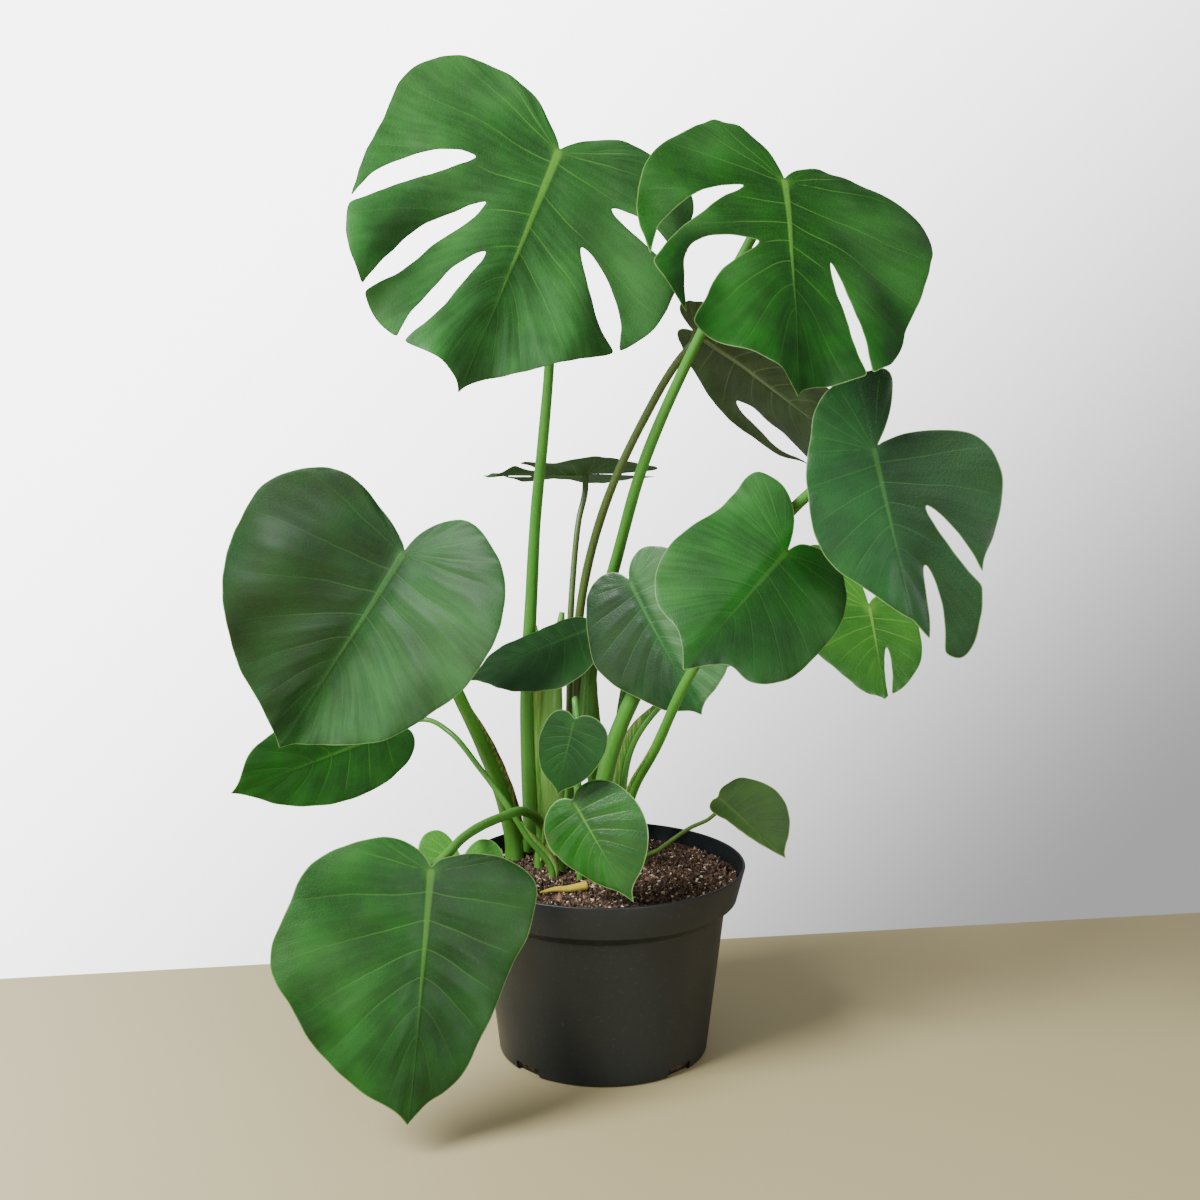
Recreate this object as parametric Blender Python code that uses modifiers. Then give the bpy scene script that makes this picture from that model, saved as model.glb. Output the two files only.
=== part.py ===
"""Potted monstera: a young split-leaf plant growing in a round nursery pot.

Metres, +Z up. The origin is the centre of the pot's base, and the plant's showiest side faces -Y.
Every leaf is a thin blade on its own leaf stalk, and every stalk rises from its own spot in the soil.
"""

import math

import bmesh
import bpy
import numpy as np
from mathutils import Vector
from mathutils.geometry import delaunay_2d_cdt

MM = 0.001

# Pot
RIM_RADIUS = 0.127
POT_HEIGHT = 0.172
BASE_RADIUS = 0.0943
POT_WALL = 0.002
POT_FLOOR = 0.003
BAND_HEIGHT = 0.031
BAND_TAPER = 0.007
BAND_OVERHANG = 0.011
EDGE_ROUND = 0.0012
BASE_ROUND = 0.003
NOTCH_WIDTH = 0.028
NOTCH_HEIGHT = 0.009
NOTCH_DEPTH = 0.012
NOTCH_COUNT = 4
ROUND_STEPS = 56

# Soil
SOIL_DROP = 0.014
CLEARANCE = 0.0003

# Leaves and stalks
BLADE_THICKNESS = 0.0012
BLADE_GAP = 0.0005
STALK_GAP = 0.0003
STALK_POINTS = 12
TIP_ANGLE = 3.0
SINUS_RADIUS = 0.0035
SOFT_FOLD = 0.015
OUTLINE_STEP = 11.0
MESH_SHARE = 6.5
SMALLEST_MESH = 0.006
SEAT_RADIUS = 0.006
SEAT_MARGIN = 0.001

SOIL_TOP = POT_HEIGHT - SOIL_DROP
BAND_FOOT_RADIUS = RIM_RADIUS - BAND_TAPER
BODY_TOP_RADIUS = BAND_FOOT_RADIUS - BAND_OVERHANG
BAND_FOOT = POT_HEIGHT - BAND_HEIGHT
BODY_TOP = BAND_FOOT - BAND_OVERHANG / 2

# A blade's half outline is given by its reach in millimetres from the stalk, at these angles from the tip.
OUTLINE_ANGLES = (0, 12, 25, 40, 55, 70, 90, 110, 130, 150, 168)


def clear_scene():
    for obj in list(bpy.data.objects):
        bpy.data.objects.remove(obj, do_unlink=True)


def new_collection(name):
    collection = bpy.data.collections.new(name)
    bpy.context.scene.collection.children.link(collection)
    return collection


def new_material(name, colour, roughness):
    material = bpy.data.materials.new(name)
    material.use_nodes = True
    shader = material.node_tree.nodes["Principled BSDF"]
    shader.inputs["Base Color"].default_value = (*colour, 1.0)
    shader.inputs["Roughness"].default_value = roughness
    shader.inputs["Metallic"].default_value = 0.0
    return material


def add_object(name, data, material, collection):
    obj = bpy.data.objects.new(name, data)
    data.materials.append(material)
    collection.objects.link(obj)
    return obj


def turned(name, profile, material, collection):
    """A solid of revolution, from a profile that runs down its outer side and ends on the axis."""
    mesh = bpy.data.meshes.new(name)
    points = [(radius, 0.0, height) for radius, height in profile]
    mesh.from_pydata(points, [(i, i + 1) for i in range(len(points) - 1)], [])
    obj = add_object(name, mesh, material, collection)
    screw = obj.modifiers.new("Turn", "SCREW")
    screw.steps = screw.render_steps = ROUND_STEPS
    screw.use_merge_vertices = True
    screw.merge_threshold = 1e-5
    screw.use_smooth_shade = True
    return obj


# ---------------------------------------------------------------- pot and soil


def inner_wall(gap):
    """The pot's inside from the floor up, kept clear of the plastic by gap."""
    slip = POT_WALL + gap
    return [
        (BASE_RADIUS - slip, POT_FLOOR + gap),
        (BODY_TOP_RADIUS - slip, BODY_TOP + POT_WALL / 2),
        (BAND_FOOT_RADIUS - slip, BAND_FOOT + POT_WALL / 2 + gap),
    ]


def band_inside(height, gap):
    """The radius of the rim band's inner face at a height."""
    share = (height - BAND_FOOT) / BAND_HEIGHT
    return BAND_FOOT_RADIUS + share * BAND_TAPER - POT_WALL - gap


def make_pot(material, collection, cutters):
    inside = inner_wall(0.0)
    outside = [
        (RIM_RADIUS - EDGE_ROUND, POT_HEIGHT),
        (RIM_RADIUS, POT_HEIGHT - EDGE_ROUND),
        (BAND_FOOT_RADIUS, BAND_FOOT + EDGE_ROUND),
        (BAND_FOOT_RADIUS - EDGE_ROUND, BAND_FOOT - EDGE_ROUND),
        (BODY_TOP_RADIUS + EDGE_ROUND, BODY_TOP + EDGE_ROUND),
        (BODY_TOP_RADIUS, BODY_TOP - EDGE_ROUND),
        (BASE_RADIUS, BASE_ROUND),
        (BASE_RADIUS - BASE_ROUND / 3, BASE_ROUND / 3),
        (BASE_RADIUS - BASE_ROUND, 0.0),
        (0.0, 0.0),
    ]
    lip = [(RIM_RADIUS - POT_WALL, POT_HEIGHT)]
    profile = [(0.0, POT_FLOOR)] + inside + lip + outside
    pot = turned("pot", profile, material, collection)
    cut = pot.modifiers.new("Drain notches", "BOOLEAN")
    cut.operation = "DIFFERENCE"
    cut.object = make_notch_cutter(cutters)
    return pot


def make_notch_cutter(cutters):
    """One box for each drain notch, across the foot of the wall and a little of the floor."""
    bm = bmesh.new()
    for i in range(NOTCH_COUNT):
        turn = 2 * math.pi * (i + 0.5) / NOTCH_COUNT
        box = bmesh.ops.create_cube(bm, size=1.0)["verts"]
        for vert in box:
            out = BASE_RADIUS + vert.co.x * NOTCH_DEPTH
            across = vert.co.y * NOTCH_WIDTH
            height = vert.co.z * 2 * NOTCH_HEIGHT
            vert.co = (
                out * math.cos(turn) - across * math.sin(turn),
                out * math.sin(turn) + across * math.cos(turn),
                height,
            )
    mesh = bpy.data.meshes.new("notch_cutter")
    bm.to_mesh(mesh)
    bm.free()
    cutter = bpy.data.objects.new("notch_cutter", mesh)
    cutters.objects.link(cutter)
    cutter.hide_render = True
    cutter.display_type = "WIRE"
    return cutter


def make_soil(material, collection):
    edge = [(band_inside(SOIL_TOP, CLEARANCE), SOIL_TOP)]
    side = list(reversed(inner_wall(CLEARANCE)))
    profile = [(0.0, SOIL_TOP)] + edge + side + [(0.0, POT_FLOOR + CLEARANCE)]
    return turned("soil", profile, material, collection)


# ---------------------------------------------------------------- leaf blades


def smooth_through(knots, values, at):
    """Values on a smooth curve through the knots (cubic Hermite, each slope from its neighbours)."""
    knots = np.asarray(knots, float)
    values = np.asarray(values, float)
    slopes = np.gradient(values, knots, axis=0)
    at = np.clip(np.asarray(at, float), knots[0], knots[-1])
    i = np.clip(np.searchsorted(knots, at, side="right") - 1, 0, len(knots) - 2)
    width = knots[i + 1] - knots[i]
    t = (at - knots[i]) / width
    shape = (-1,) + (1,) * (values.ndim - 1)
    t, width = t.reshape(shape), width.reshape(shape)
    return (
        (2 * t**3 - 3 * t**2 + 1) * values[i]
        + (t**3 - 2 * t**2 + t) * width * slopes[i]
        + (3 * t**2 - 2 * t**3) * values[i + 1]
        + (t**3 - t**2) * width * slopes[i + 1]
    )


def polar(angle, reach):
    """A point of the flat blade: angle in degrees from the tip, positive on its left half."""
    return np.array([math.sin(math.radians(angle)), math.cos(math.radians(angle))]) * reach


def reach_at(leaf, angle):
    """How far the blade reaches at an angle. Its sinus may lie a little to one side."""
    on_left = angle > 0
    half = leaf["left"] if on_left else leaf["right"]
    sinus = 180 + leaf.get("sinus", 0) * (1 if on_left else -1)
    angles = [mark * sinus / 180 for mark in OUTLINE_ANGLES] + [sinus]
    reaches = [value * MM for value in half] + [SINUS_RADIUS]
    drip = leaf["drip"] * MM * math.exp(-abs(angle) / TIP_ANGLE)
    return float(smooth_through(angles, reaches, [abs(angle)])[0]) + drip


def split_edges(leaf, split):
    """Both edges of one split, from its mouth in to its rounded inner end and out again."""
    inner_angle, inner_reach, mouth_angle, widest, mouth, bow = split
    inner = polar(inner_angle, inner_reach * MM)
    outer = polar(mouth_angle, reach_at(leaf, mouth_angle))
    along = outer - inner
    across = np.array([along[1], -along[0]]) / np.linalg.norm(along)
    shares = (1.0, 0.6, 0.3, 0.08)
    widths = (mouth, widest, widest, 0.6 * widest)
    middle = [inner + s * along + 4 * s * (1 - s) * bow * MM * across for s in shares]
    first = [place - width * MM * across for place, width in zip(middle, widths)]
    second = [place + width * MM * across for place, width in zip(middle, widths)]
    return first + [inner] + second[::-1]


def leaf_outline(leaf):
    """The blade's flat outline, once round from the sinus, with its splits let in."""
    splits = sorted(leaf.get("splits", ()), key=lambda split: split[2])
    outline = []
    turn = leaf.get("sinus", 0)
    start = -180 + turn + OUTLINE_STEP / 2
    marks = list(np.arange(start, 180 + turn, OUTLINE_STEP)) + [-4.0, -1.5, 0.0, 1.5, 4.0]
    marks = sorted(mark for mark in marks if abs(mark) < 5 or abs(mark) > OUTLINE_STEP / 2)
    for mark in marks:
        while splits and splits[0][2] < mark:
            outline += split_edges(leaf, splits.pop(0))
        near = [
            split
            for split in leaf.get("splits", ())
            if abs(split[2] - mark) < math.degrees(1.6 * split[4] * MM / reach_at(leaf, mark)) + 2
        ]
        if not near:
            outline.append(polar(mark, reach_at(leaf, mark)))
    return outline


def inside_polygon(point, polygon):
    x, y = point
    inside = False
    for (x0, y0), (x1, y1) in zip(polygon, polygon[1:] + polygon[:1]):
        if (y0 > y) != (y1 > y) and x < (x1 - x0) * (y - y0) / (y1 - y0) + x0:
            inside = not inside
    return inside


def seat_points():
    """A few points close round the place where the stalk joins, so that the blade is flat there."""
    return [(0.0, 0.0)] + [tuple(polar(angle, SEAT_RADIUS)) for angle in range(-120, 121, 60)]


def clear_inside(point, outline, margin):
    apart = np.linalg.norm(np.array(outline) - point, axis=1).min()
    return apart > margin and inside_polygon(point, [tuple(corner) for corner in outline])


def grid_inside(outline, spacing):
    """A triangular grid of points that keep well inside the outline, with a row on the midrib."""
    corners = np.array(outline)
    low, high = corners.min(axis=0), corners.max(axis=0)
    rise = spacing * math.sqrt(3) / 2
    columns = int(max(-low[0], high[0]) / spacing) + 1
    points = [point for point in seat_points() if clear_inside(point, outline, SEAT_MARGIN)]
    for row in range(int((high[1] - low[1]) / rise) + 1):
        for column in range(-columns, columns + 1):
            point = ((column + 0.5 * (row % 2)) * spacing, low[1] + row * rise)
            off_seat = np.linalg.norm(point) > SEAT_RADIUS + 0.3 * spacing
            if off_seat and clear_inside(point, outline, 0.5 * spacing):
                points.append(point)
    return points


def bend(leaf, x, y):
    """The blade's form: its midrib arches, its halves fold and arch, and its margin waves."""
    droop, fold, cup, wave = leaf["form"]
    turn = droop * y
    along = math.sin(turn) / droop if abs(droop) > 1e-6 else y
    lift = -(1 - math.cos(turn)) / droop if abs(droop) > 1e-6 else 0.0
    side = math.sqrt(x * x + SOFT_FOLD**2) - SOFT_FOLD
    reach = math.hypot(x, y)
    ripple = wave * MM * (reach / 0.1) ** 2 * math.sin(5 * math.atan2(x, y) + 40 * x)
    rise = fold * side - cup * side * side + ripple
    return Vector((x, along + math.sin(turn) * rise, lift + math.cos(turn) * rise))


def leaf_axes(faces, roll):
    """Across, towards the tip, and out of the upper side. Faces is a bearing from -Y and a height."""
    bearing, height, roll = math.radians(faces[0]), math.radians(faces[1]), math.radians(roll)
    out = Vector((math.sin(bearing) * math.cos(height), -math.cos(bearing) * math.cos(height), math.sin(height)))
    down = (Vector((0, 0, -1)) + out * out.z).normalized()
    tip = math.cos(roll) * down + math.sin(roll) * down.cross(out)
    return tip.cross(out), tip, out


def junction(leaf):
    return Vector(leaf["joins"]) * MM + Vector((0, 0, SOIL_TOP))


def make_leaf(leaf, material, collection):
    outline = leaf_outline(leaf)
    spacing = max(SMALLEST_MESH, max(leaf["left"]) * MM / MESH_SHARE)
    points = [Vector(p) for p in outline + grid_inside(outline, spacing)]
    ring = list(range(len(outline)))
    flat, _, faces, *_ = delaunay_2d_cdt(points, [], [ring], 1, 1e-6)
    across, tip, out = leaf_axes(leaf["faces"], leaf["roll"])
    place = junction(leaf)
    shaped = [bend(leaf, p.x, p.y) for p in flat]
    verts = [place + across * p.x + tip * p.y + out * p.z for p in shaped]
    mesh = bpy.data.meshes.new(leaf["name"])
    mesh.from_pydata(verts, [], faces)
    bm = bmesh.new()
    bm.from_mesh(mesh)
    bmesh.ops.recalc_face_normals(bm, faces=bm.faces)
    bm.to_mesh(mesh)
    bm.free()
    obj = add_object("leaf_" + leaf["name"], mesh, material, collection)
    solid = obj.modifiers.new("Blade", "SOLIDIFY")
    solid.thickness = BLADE_THICKNESS
    solid.offset = 0.0
    return obj


# ---------------------------------------------------------------- stalks


def make_stalk(name, route, radii, material, collection):
    """A tapering round stalk on a smooth curve through its route, with a straight piece at each end."""
    route = [Vector(point) for point in route]
    lengths = [0.0]
    for before, after in zip(route, route[1:]):
        lengths.append(lengths[-1] + (after - before).length)
    at = [0.0] + list(np.linspace(lengths[1], lengths[-2], STALK_POINTS)) + [lengths[-1]]
    points = smooth_through(lengths, [tuple(p) for p in route], at)
    curve = bpy.data.curves.new(name, "CURVE")
    curve.dimensions = "3D"
    curve.bevel_depth = 1.0
    curve.bevel_resolution = 1
    curve.use_fill_caps = True
    spline = curve.splines.new("POLY")
    spline.points.add(len(points) - 1)
    for i, point in enumerate(points):
        share = i / (len(points) - 1)
        spline.points[i].co = (*point, 1.0)
        spline.points[i].radius = (radii[0] + (radii[1] - radii[0]) * share**0.7) * MM
    return add_object(name, curve, material, collection)


def rising_from(spot, radius):
    """A stalk's upright first piece. Its spot in the soil is a share of the soil's radius."""
    edge = band_inside(SOIL_TOP, CLEARANCE)
    foot = Vector((spot[0] * edge, spot[1] * edge, SOIL_TOP + STALK_GAP))
    return [foot, foot + Vector((0, 0, radius * MM))]


def above_soil(places):
    return [Vector(place) * MM + Vector((0, 0, SOIL_TOP)) for place in places]


def make_leaf_stalk(leaf, material, collection):
    _, _, out = leaf_axes(leaf["faces"], leaf["roll"])
    end = junction(leaf) - out * (BLADE_THICKNESS / 2 + BLADE_GAP)
    neck = end - out * leaf["neck"] * MM
    seat = end - out * leaf["stalk"][1] * MM / 2
    route = rising_from(leaf["foot"], leaf["stalk"][0]) + above_soil(leaf["via"]) + [neck, seat, end]
    return make_stalk("stalk_" + leaf["name"], route, leaf["stalk"], material, collection)


def past_rim(bearing, reach, height):
    """A place, in millimetres, this far outside the pot's rim, with its height above the soil."""
    out = RIM_RADIUS / MM + reach
    return (out * math.cos(math.radians(bearing)), out * math.sin(math.radians(bearing)), height)


# Each leaf: where its blade joins its stalk (x, y, height above the soil), the bearing and height
# that its upper side faces, its roll from hanging straight down, its half outlines, its drip tip,
# its form (droop, fold, cup, wave), its splits (inner angle, inner reach, mouth angle, half widths
# at the middle and the mouth, bow towards the sinus), and its stalk: radii at foot and blade, spot
# in the soil, places that it passes, and the length of its neck.
LEAVES = [
    dict(
        name="top_left",
        joins=(-38, -20, 629),
        faces=(28, 20),
        roll=30,
        left=(214, 222, 221, 206, 172, 150, 135, 103, 62, 20, 8),
        right=(214, 196, 180, 174, 163, 146, 134, 124, 70, 20, 6),
        drip=20,
        form=(0.5, 0.05, 0.4, 2.0),
        splits=[
            (54, 75, 46, 9.5, 2.0, 8),
            (27, 84, 27, 8.5, 2.4, 5),
            (12, 118, 15, 7.5, 2.6, 3),
            (-34, 82, -40, 10.5, 2.0, -3),
            (-72, 62, -74, 9.0, 20.0, -3),
        ],
        stalk=(8.0, 3.4),
        foot=(-0.56, 0.63),
        via=[(-71, 75, 147), (-66, 68, 243), (-61, 50, 318), (-53, 25, 390), (-47, 12, 453), (-44, 4, 560)],
        neck=20,
        colour=(0.035, 0.145, 0.035),
    ),
    dict(
        name="top_right",
        joins=(142, -100, 598),
        faces=(30, 38),
        roll=18,
        left=(188, 184, 183, 177, 154, 134, 106, 83, 72, 52, 15),
        right=(188, 186, 178, 155, 140, 135, 130, 74, 44, 18, 6),
        drip=18,
        form=(0.8, 0.05, 0.4, 2.0),
        splits=[
            (64, 42, 45, 7.5, 2.0, 11),
            (21, 76, 28, 14.0, 3.0, 20),
            (-25, 80, -19, 4.5, 2.0, 0),
        ],
        stalk=(7.0, 4.0),
        foot=(-0.05, 0.56),
        via=[(-9, 66, 91), (-12, 65, 159), (-3, 58, 227), (9, 45, 271), (35, -5, 372), (80, -50, 480), (118, -75, 555)],
        neck=20,
        colour=(0.03, 0.17, 0.03),
    ),
    dict(
        name="back_right",
        joins=(83, 50, 482),
        faces=(150, 45),
        roll=39,
        left=(172, 182, 174, 134, 92, 62, 46, 42, 40, 34, 12),
        right=(172, 186, 164, 112, 66, 42, 28, 23, 20, 16, 8),
        drip=14,
        form=(0.8, 0.05, 0.4, 2.0),
        splits=[(42, 88, 16, 17.0, 2.0, 9), (-32, 84, -17, 12.0, 2.0, -3)],
        stalk=(5.0, 3.6),
        foot=(-0.2, 0.72),
        via=[(-26, 80, 87), (-24, 82, 154), (-22, 82, 224), (-9, 77, 292), (2, 73, 328), (36, 60, 405), (68, 46, 460)],
        neck=12,
        colour=(0.045, 0.075, 0.03),
    ),
    dict(
        name="right_split",
        joins=(212, -135, 390),
        faces=(-10, 10),
        roll=-14,
        sinus=42,
        left=(136, 110, 97, 79, 63, 55, 51, 56, 61, 63, 56),
        right=(136, 176, 154, 121, 112, 106, 96, 78, 40, 15, 8),
        drip=0,
        form=(0.8, 0.12, 0.4, 1.5),
        splits=[(-30, 58, -27, 5.5, 3.0, 0), (-11, 97, -5, 5.0, 4.0, -3)],
        stalk=(9.5, 4.0),
        foot=(-0.02, 0.2),
        via=[(0, 25, 78), (4, 22, 98), (27, 10, 163), (84, -20, 253), (134, -36, 307), (172, -58, 350)],
        neck=14,
        colour=(0.025, 0.09, 0.04),
    ),
    dict(
        name="mid_right",
        joins=(147, -100, 304),
        faces=(15, 30),
        roll=47,
        left=(129, 114, 115, 107, 92, 76, 66, 69, 80, 54, 12),
        right=(129, 109, 113, 104, 88, 79, 69, 58, 46, 28, 16),
        drip=6,
        form=(1.0, -0.16, 1.2, 1.0),
        stalk=(5.2, 4.0),
        foot=(0.15, 0.14),
        via=[(23, 8, 66), (47, -30, 129), (72, -72, 198), (110, -88, 262)],
        neck=14,
        colour=(0.055, 0.22, 0.055),
    ),
    dict(
        name="mid_glossy",
        joins=(24, -5, 266),
        faces=(-30, 5),
        roll=-33,
        left=(120, 116, 102, 92, 81, 65, 51, 42, 31, 20, 8),
        right=(120, 118, 114, 103, 86, 72, 55, 43, 34, 20, 8),
        drip=10,
        form=(1.0, 0.1, 0.8, 0.8),
        stalk=(5.0, 3.2),
        foot=(0.1, 0.62),
        via=[(12, 60, 102), (24, 42, 192)],
        neck=18,
        colour=(0.03, 0.15, 0.045),
    ),
    dict(
        name="lime",
        joins=(243, 60, 234),
        faces=(15, 30),
        roll=0,
        left=(82, 81, 74, 70, 71, 70, 68, 70, 76, 76, 40),
        right=(82, 80, 73, 65, 55, 48, 40, 28, 20, 12, 6),
        drip=4,
        form=(1.5, 0.05, 1.0, 1.0),
        splits=[(-15, 38, -4, 3.5, 1.5, 0)],
        stalk=(3.6, 2.6),
        foot=(0.19, 0.4),
        via=[(18, 46, 64), (28, 47, 112), (52, 48, 146), (124, 62, 187), (200, 76, 215)],
        neck=14,
        colour=(0.09, 0.35, 0.05),
    ),
    dict(
        name="large_left",
        joins=(-169, -60, 298),
        faces=(20, 0),
        roll=33,
        left=(184, 170, 161, 154, 147, 140, 126, 92, 32, 12, 8),
        right=(184, 172, 158, 141, 127, 114, 100, 89, 76, 60, 28),
        drip=8,
        form=(0.8, 0.2, 0.8, 1.2),
        stalk=(9.0, 3.8),
        foot=(-0.68, 0.43),
        via=[(-91, 44, 57), (-111, 20, 121), (-129, -10, 173), (-149, -22, 238)],
        neck=16,
        colour=(0.03, 0.12, 0.055),
    ),
    dict(
        name="low_left",
        joins=(-186, 30, 129),
        faces=(20, 5),
        roll=72,
        left=(146, 134, 98, 81, 69, 55, 42, 32, 22, 14, 6),
        right=(146, 124, 94, 70, 52, 40, 31, 24, 18, 12, 6),
        drip=12,
        form=(1.2, 0.06, 0.8, 1.0),
        stalk=(3.4, 2.2),
        foot=(-0.375, -0.035),
        via=[(-69, -2, 39), (-81, -2, 59), (-111, 6, 99), (-138, 22, 127), (-165, 44, 134)],
        neck=10,
        colour=(0.035, 0.17, 0.035),
    ),
    dict(
        name="front_hanging",
        joins=past_rim(-127, 99, 62),
        faces=(15, 15),
        roll=8,
        left=(184, 175, 163, 149, 142, 117, 93, 62, 38, 18, 6),
        right=(184, 166, 130, 107, 97, 92, 85, 48, 22, 12, 5),
        drip=12,
        form=(0.6, -0.05, 0.6, 1.2),
        stalk=(4.6, 3.8),
        foot=(-0.48, 0.19),
        via=[(-57, 20, 42), (-70, -8, 62), past_rim(-151, -23, 68), past_rim(-136, 33, 70), past_rim(-129, 78, 66)],
        neck=10,
        colour=(0.03, 0.16, 0.03),
    ),
    dict(
        name="rim_left",
        joins=past_rim(-140, 28, 42),
        faces=(10, 35),
        roll=5,
        left=(50, 48, 45, 42, 40, 38, 37, 39, 41, 34, 12),
        right=(50, 48, 45, 42, 40, 38, 36, 36, 34, 26, 10),
        drip=5,
        form=(2.0, 0.05, 1.0, 0.5),
        stalk=(2.6, 2.2),
        foot=(-0.65, -0.19),
        via=[(-88, -40, 24), past_rim(-141, 10, 40)],
        neck=8,
        colour=(0.08, 0.3, 0.05),
    ),
    dict(
        name="small_heart",
        joins=(-25, -90, 161),
        faces=(-20, 12),
        roll=10,
        left=(56, 52, 47, 39, 33, 27, 23, 19, 14, 9, 4),
        right=(56, 53, 48, 43, 39, 36, 31, 23, 15, 9, 4),
        drip=6,
        form=(1.5, 0.06, 1.0, 0.4),
        stalk=(3.2, 2.6),
        foot=(-0.17, -0.09),
        via=[(-22, -14, 72), (-23, -48, 150), (-24, -74, 177)],
        neck=6,
        colour=(0.04, 0.21, 0.06),
    ),
    dict(
        name="front_heart",
        joins=(-24, -85, 91),
        faces=(-20, 10),
        roll=-35,
        left=(82, 73, 62, 54, 48, 43, 34, 24, 16, 9, 4),
        right=(82, 80, 74, 67, 57, 47, 37, 26, 16, 9, 4),
        drip=14,
        form=(1.5, -0.08, 1.5, 0.5),
        stalk=(3.8, 3.0),
        foot=(-0.31, 0.12),
        via=[(-33, 4, 57), (-27, -40, 104)],
        neck=8,
        colour=(0.045, 0.22, 0.05),
    ),
    dict(
        name="olive",
        joins=(103, -20, 77),
        faces=(-30, 45),
        roll=-60,
        left=(78, 44, 26, 20, 17, 15, 13, 10, 8, 5, 3),
        right=(78, 75, 68, 56, 43, 33, 25, 16, 12, 8, 4),
        drip=8,
        form=(2.0, 0.35, 2.0, 0.4),
        stalk=(2.2, 1.7),
        foot=(0.31, 0.26),
        via=[(52, 12, 22), (78, 0, 45), (95, -10, 57)],
        neck=6,
        colour=(0.07, 0.15, 0.025),
    ),
    dict(
        name="far_flat",
        joins=(-17, 150, 350),
        faces=(180, 76),
        roll=-90,
        left=(92, 88, 76, 70, 67, 64, 64, 68, 76, 78, 36),
        right=(92, 88, 76, 70, 67, 64, 64, 68, 76, 78, 36),
        drip=6,
        form=(0.4, 0.12, 1.0, 5.0),
        splits=[(22, 55, 13, 4.0, 2.5, 0), (-24, 50, -30, 4.0, 2.5, 0)],
        stalk=(3.8, 2.8),
        foot=(-0.29, 0.87),
        via=[(-32, 108, 140), (-31, 118, 215), (-28, 128, 262), (-23, 138, 308)],
        neck=14,
        colour=(0.05, 0.11, 0.05),
    ),
    dict(
        name="center_dark",
        joins=(-15, 42, 217),
        faces=(-20, 50),
        roll=58,
        left=(108, 90, 52, 35, 28, 23, 18, 14, 10, 7, 4),
        right=(108, 97, 87, 76, 66, 52, 36, 22, 13, 8, 4),
        drip=8,
        form=(1.0, 0.05, 1.0, 0.5),
        stalk=(4.0, 3.0),
        foot=(-0.19, 0.36),
        via=[(-23, 42, 92), (-17, 47, 170)],
        neck=8,
        colour=(0.02, 0.07, 0.025),
    ),
    dict(
        name="seedling",
        joins=(-8, -22, 18),
        faces=(10, 40),
        roll=0,
        left=(14, 14, 13, 12, 12, 12, 11, 9, 7, 5, 3),
        right=(14, 14, 13, 12, 12, 12, 11, 9, 7, 5, 3),
        drip=1.5,
        form=(4.0, 0.05, 1.0, 0.0),
        stalk=(1.5, 1.2),
        foot=(-0.05, -0.1),
        via=[(-7, -14, 12)],
        neck=3,
        colour=(0.07, 0.3, 0.06),
    ),
]

# A thick leaf base that has lost its blade, and an old yellow one that lies on the soil.
SHEATH_FOOT = (-0.36, 0.57)
SHEATH_ROUTE = [(-46, 70, 60), (-47, 74, 156), (-41, 74, 205), (-38, 76, 228)]
SHEATH_RADII = (12.0, 3.5)
OLD_SHEATH_ENDS = ((-52, -54), (-16, -42))
OLD_SHEATH_RADII = (2.4, 3.6)


def make_sheaths(fresh, old, collection):
    route = rising_from(SHEATH_FOOT, SHEATH_RADII[0]) + above_soil(SHEATH_ROUTE)
    make_stalk("sheath", route, SHEATH_RADII, fresh, collection)
    lift = SOIL_TOP + STALK_GAP + max(OLD_SHEATH_RADII) * MM
    ends = [Vector((x * MM, y * MM, lift)) for x, y in OLD_SHEATH_ENDS]
    middle = (ends[0] + ends[1]) / 2
    make_stalk("old_sheath", [ends[0], middle, ends[1]], OLD_SHEATH_RADII, old, collection)


def make_plant():
    clear_scene()
    parts = new_collection("potted_monstera")
    cutters = new_collection("cutters")
    plastic = new_material("pot_plastic", (0.026, 0.029, 0.031), 0.45)
    peat = new_material("peat", (0.045, 0.025, 0.016), 0.95)
    stalk_green = new_material("stalk", (0.09, 0.26, 0.05), 0.4)
    old_yellow = new_material("old_sheath", (0.4, 0.36, 0.04), 0.6)
    make_pot(plastic, parts, cutters)
    make_soil(peat, parts)
    for leaf in LEAVES:
        blade = new_material("leaf_" + leaf["name"], leaf["colour"], 0.35)
        make_leaf(leaf, blade, parts)
        make_leaf_stalk(leaf, stalk_green, parts)
    make_sheaths(stalk_green, old_yellow, parts)


make_plant()
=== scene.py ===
import math

import bmesh
import bpy
import numpy as np
from mathutils import Matrix, Vector, kdtree, noise
from mathutils.geometry import delaunay_2d_cdt


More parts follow.
